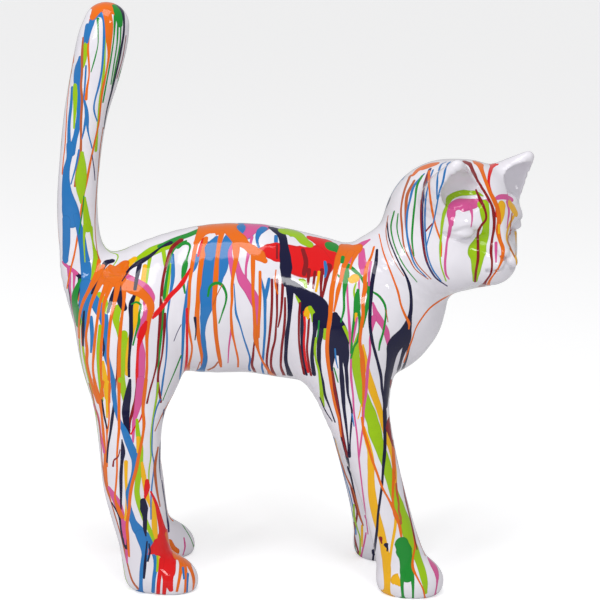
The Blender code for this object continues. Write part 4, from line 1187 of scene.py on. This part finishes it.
class Sheet:
    """The pours on each face of the casting, lowest first, as values at the face's corners."""

    def __init__(self, mesh):
        count = len(mesh.polygons)
        starts = np.empty(count, int)
        totals = np.empty(count, int)
        corners = np.empty(len(mesh.loops), int)
        mesh.polygons.foreach_get("loop_start", starts)
        mesh.polygons.foreach_get("loop_total", totals)
        mesh.loops.foreach_get("vertex_index", corners)
        self.mesh = mesh
        self.index = starts[:, None] + np.minimum(np.arange(totals.max()), totals[:, None] - 1)
        self.ring = corners[self.index]
        self.middle = corner_at[self.ring].mean(axis=1)
        self.depth = np.zeros(count, int)
        self.layers = np.full((LAYERS, len(corners), 3), NOWHERE)
        self.across = np.full(len(mesh.vertices), np.nan)
        self.past = np.full(len(mesh.vertices), np.nan)

    def measure(self, near, places, outs, halves):
        """How far the corners near a pour lie aside of its middle line and past its ends, in halves."""
        run = np.diff(places, axis=0)
        lengths = np.maximum(np.linalg.norm(run, axis=1), 1e-6)
        run /= lengths[:, None]
        offset = corner_at[near][:, None] - places[None, :-1]
        along = (offset * run).sum(axis=2)
        held = np.clip(along, 0, lengths)
        best = np.linalg.norm(offset - held[..., None] * run, axis=2).argmin(axis=1)
        rows = np.arange(len(near))
        share = held[rows, best] / lengths[best]
        half = halves[best] * (1 - share) + halves[best + 1] * share
        out = outs[best]
        flat = offset[rows, best] - held[rows, best][:, None] * run[best]
        lift = (flat * out).sum(axis=1)
        flat -= lift[:, None] * out
        aside = (flat * np.cross(out, run[best])).sum(axis=1)
        last = len(lengths) - 1
        past = np.maximum(np.where(best == last, along[rows, last] - lengths[last], -1),
                          np.where(best == 0, -along[rows, 0], -1))
        across = np.where(past > 0, aside, np.copysign(np.linalg.norm(flat, axis=1), aside))
        facing = (corner_out[near] * out).sum(axis=1) > 0.1
        close = facing & (abs(across) < half + SPARE) & (past < half + SPARE) & (abs(lift) < half + DEEPEST)
        self.across[near[close]] = across[close] / half[close]
        self.past[near[close]] = np.clip(past[close] / half[close], -3, 9)

    def lay(self, colour, places, outs, halves):
        """Add a pour on top of the faces that it crosses; what it hides altogether is taken away."""
        reach = halves.max() + 4 * NET_STEP
        low = places.min(axis=0) - reach
        high = places.max(axis=0) + reach
        near = np.flatnonzero(((corner_at > low) & (corner_at < high)).all(axis=1))
        faces = np.flatnonzero(((self.middle > low) & (self.middle < high)).all(axis=1))
        for block in np.array_split(near, len(near) * len(places) // PAIRS_AT_ONCE + 1):
            self.measure(block, places, outs, halves)
        across = self.across[self.ring[faces]]
        past = self.past[self.ring[faces]]
        self.across[near] = np.nan
        self.past[near] = np.nan
        crossed = (across.min(axis=1) < 1) & (across.max(axis=1) > -1) & (past.min(axis=1) < 1)
        faces, across, past = faces[crossed], across[crossed], past[crossed]
        hidden = faces[(abs(across).max(axis=1) < 0.85) & (past.max(axis=1) < 0)]
        self.depth[hidden] = 0
        self.layers[:, self.index[hidden]] = NOWHERE
        full = faces[self.depth[faces] == LAYERS]
        self.layers[:-1, self.index[full]] = self.layers[1:, self.index[full]]
        self.depth[full] -= 1
        tint = np.full(across.shape, (colour + 0.5) / len(NAMES))
        self.layers[self.depth[faces][:, None], self.index[faces]] = np.stack([across, past, tint], axis=2)
        self.depth[faces] += 1

    def write(self):
        """Write each layer as an attribute of the casting's corners, for the finish to read."""
        for number, layer in enumerate(self.layers):
            attribute = self.mesh.attributes.new(f"pour_{number}", "FLOAT_VECTOR", "CORNER")
            attribute.data.foreach_set("vector", layer.ravel())


sheet = Sheet(form)
for one in pours:
    sheet.lay(*one)
sheet.write()


# The finish: glossy white resin, the pours over it lowest first, and a thick clear lacquer that seals the
# whole cat. The colours are chart colours, each darkened just within a pour's edge as painted shade; a faint
# cloud in the white and a faint ripple in the lacquer are all else that varies beneath them.
def linear(red, green, blue):
    """A colour given as on a paint chart, from 0 to 255, in the light values that a shader takes."""
    parts = [part / 255 for part in (red, green, blue)]
    return (*[part / 12.92 if part < 0.04045 else ((part + 0.055) / 1.055) ** 2.4 for part in parts], 1)


def pour_group():
    """One pour over the colour beneath: its colour inside its edge, and a darker line just within it, painted
    shade of the pour's thick edge.
    """
    group = bpy.data.node_groups.new("one_pour", "ShaderNodeTree")
    group.interface.new_socket("Beneath", in_out="INPUT", socket_type="NodeSocketColor")
    group.interface.new_socket("Offsets", in_out="INPUT", socket_type="NodeSocketVector")
    group.interface.new_socket("Colour", in_out="OUTPUT", socket_type="NodeSocketColor")
    add, link = group.nodes.new, group.links.new
    inlet, outlet = add("NodeGroupInput"), add("NodeGroupOutput")
    parts = add("ShaderNodeSeparateXYZ")
    link(inlet.outputs["Offsets"], parts.inputs[0])
    past = add("ShaderNodeMath")
    past.operation = "MAXIMUM"
    past.inputs[1].default_value = 0
    link(parts.outputs["Y"], past.inputs[0])
    flat = add("ShaderNodeCombineXYZ")
    link(parts.outputs["X"], flat.inputs["X"])
    link(past.outputs[0], flat.inputs["Y"])
    radius = add("ShaderNodeVectorMath")
    radius.operation = "LENGTH"
    link(flat.outputs[0], radius.inputs[0])
    inside = add("ShaderNodeMapRange")
    inside.inputs["From Min"].default_value = 1.0
    inside.inputs["From Max"].default_value = 0.94
    link(radius.outputs["Value"], inside.inputs["Value"])
    # Painted shade: each pour is darkened towards its edge, where a thick film of paint would shade itself
    edge_shade = add("ShaderNodeMapRange")
    edge_shade.interpolation_type = "SMOOTHSTEP"
    edge_shade.inputs["From Min"].default_value = 0.72
    edge_shade.inputs["From Max"].default_value = 1.0
    edge_shade.inputs["To Min"].default_value = 1.0
    edge_shade.inputs["To Max"].default_value = 0.80
    link(radius.outputs["Value"], edge_shade.inputs["Value"])
    chart = add("ShaderNodeValToRGB")
    chart.color_ramp.interpolation = "CONSTANT"
    stops = chart.color_ramp.elements
    while len(stops) < len(NAMES):
        stops.new(1.0)
    for number, (stop, name) in enumerate(zip(stops, NAMES)):
        stop.position = number / len(NAMES)
        stop.color = linear(*COLOURS[name])
    link(parts.outputs["Z"], chart.inputs["Fac"])
    shade = add("ShaderNodeVectorMath")
    shade.operation = "SCALE"
    link(chart.outputs["Color"], shade.inputs[0])
    link(edge_shade.outputs["Result"], shade.inputs["Scale"])
    over = add("ShaderNodeMix")
    over.data_type = "RGBA"
    link(inside.outputs["Result"], over.inputs["Factor"])
    link(inlet.outputs["Beneath"], over.inputs[6])
    link(shade.outputs["Vector"], over.inputs[7])
    link(over.outputs[2], outlet.inputs["Colour"])
    return group


def gloss_coat():
    """White resin with the pours over it, sealed under a thick clear coat."""
    material = bpy.data.materials.new("painted_resin")
    material.use_nodes = True
    nodes, link = material.node_tree.nodes, material.node_tree.links.new
    shader = nodes["Principled BSDF"]
    shader.inputs["Roughness"].default_value = 0.38
    shader.inputs["Coat Weight"].default_value = 1.0
    shader.inputs["Coat Roughness"].default_value = 0.06
    shader.inputs["Specular IOR Level"].default_value = 0.05
    shader.inputs["Coat IOR"].default_value = 1.4
    place = nodes.new("ShaderNodeTexCoord")
    cloud = nodes.new("ShaderNodeTexNoise")
    cloud.inputs["Scale"].default_value = 26
    cloud.inputs["Detail"].default_value = 3
    link(place.outputs["Object"], cloud.inputs["Vector"])
    ground = nodes.new("ShaderNodeValToRGB")
    ground.color_ramp.elements[0].position = 0.35
    ground.color_ramp.elements[0].color = linear(226, 223, 231)
    ground.color_ramp.elements[1].position = 0.65
    ground.color_ramp.elements[1].color = linear(236, 233, 240)
    link(cloud.outputs["Fac"], ground.inputs["Fac"])
    colour = ground.outputs["Color"]
    group = pour_group()
    for number in range(LAYERS):
        offsets = nodes.new("ShaderNodeAttribute")
        offsets.attribute_name = f"pour_{number}"
        layer = nodes.new("ShaderNodeGroup")
        layer.node_tree = group
        link(colour, layer.inputs["Beneath"])
        link(offsets.outputs["Vector"], layer.inputs["Offsets"])
        colour = layer.outputs["Colour"]
    link(colour, shader.inputs["Base Color"])
    ripple = nodes.new("ShaderNodeTexNoise")
    ripple.inputs["Scale"].default_value = 140
    link(place.outputs["Object"], ripple.inputs["Vector"])
    bump = nodes.new("ShaderNodeBump")
    bump.inputs["Strength"].default_value = 0.12
    bump.inputs["Distance"].default_value = 0.0003
    link(ripple.outputs["Fac"], bump.inputs["Height"])
    link(bump.outputs["Normal"], shader.inputs["Normal"])
    return material


form.materials.append(gloss_coat())


# The studio: a plain pale floor, a white room all round, and soft boxes above, behind the camera and to
# the left, whose shapes glint in the gloss coat. The floor glows for the camera only, so that it looks
# near white without lighting the cat from below.
FLOOR_HALF = 20.0

bpy.ops.mesh.primitive_plane_add(size=2 * FLOOR_HALF, location=(0, 0, 0))
floor = bpy.context.object
floor.name = "floor"
paper = bpy.data.materials.new("pale_paper")
paper.use_nodes = True
matt = paper.node_tree.nodes["Principled BSDF"]
matt.inputs["Base Color"].default_value = (0.80, 0.80, 0.81, 1)
matt.inputs["Roughness"].default_value = 0.9
matt.inputs["Emission Color"].default_value = (0.45, 0.45, 0.45, 1)
view = paper.node_tree.nodes.new("ShaderNodeLightPath")
paper.node_tree.links.new(view.outputs["Is Camera Ray"], matt.inputs["Emission Strength"])
floor.data.materials.append(paper)

world = bpy.data.worlds.new("white_room")
world.use_nodes = True
air = world.node_tree.nodes["Background"]
air.inputs["Color"].default_value = (1.0, 1.0, 1.0, 1)
air.inputs["Strength"].default_value = 0.50
bpy.context.scene.world = world
bpy.context.scene.view_settings.view_transform = "Standard"


def soft_box(name, place, width, height, power):
    """A rectangular soft light aimed at the middle of the cat."""
    light = bpy.data.lights.new(name, "AREA")
    light.shape = "RECTANGLE"
    light.size = width
    light.size_y = height
    light.energy = power
    box = bpy.data.objects.new(name, light)
    bpy.context.collection.objects.link(box)
    box.location = place
    box.rotation_euler = (CAMERA_AIM - Vector(place)).to_track_quat("-Z", "Y").to_euler()


soft_box("top_box", (-0.2, -0.6, 1.9), 0.9, 0.9, 11.5)
soft_box("left_box", (-1.3, -1.5, 1.1), 0.5, 0.7, 11.0)
soft_box("camera_box", (0.5, -1.9, 1.2), 0.3, 0.35, 4.5)
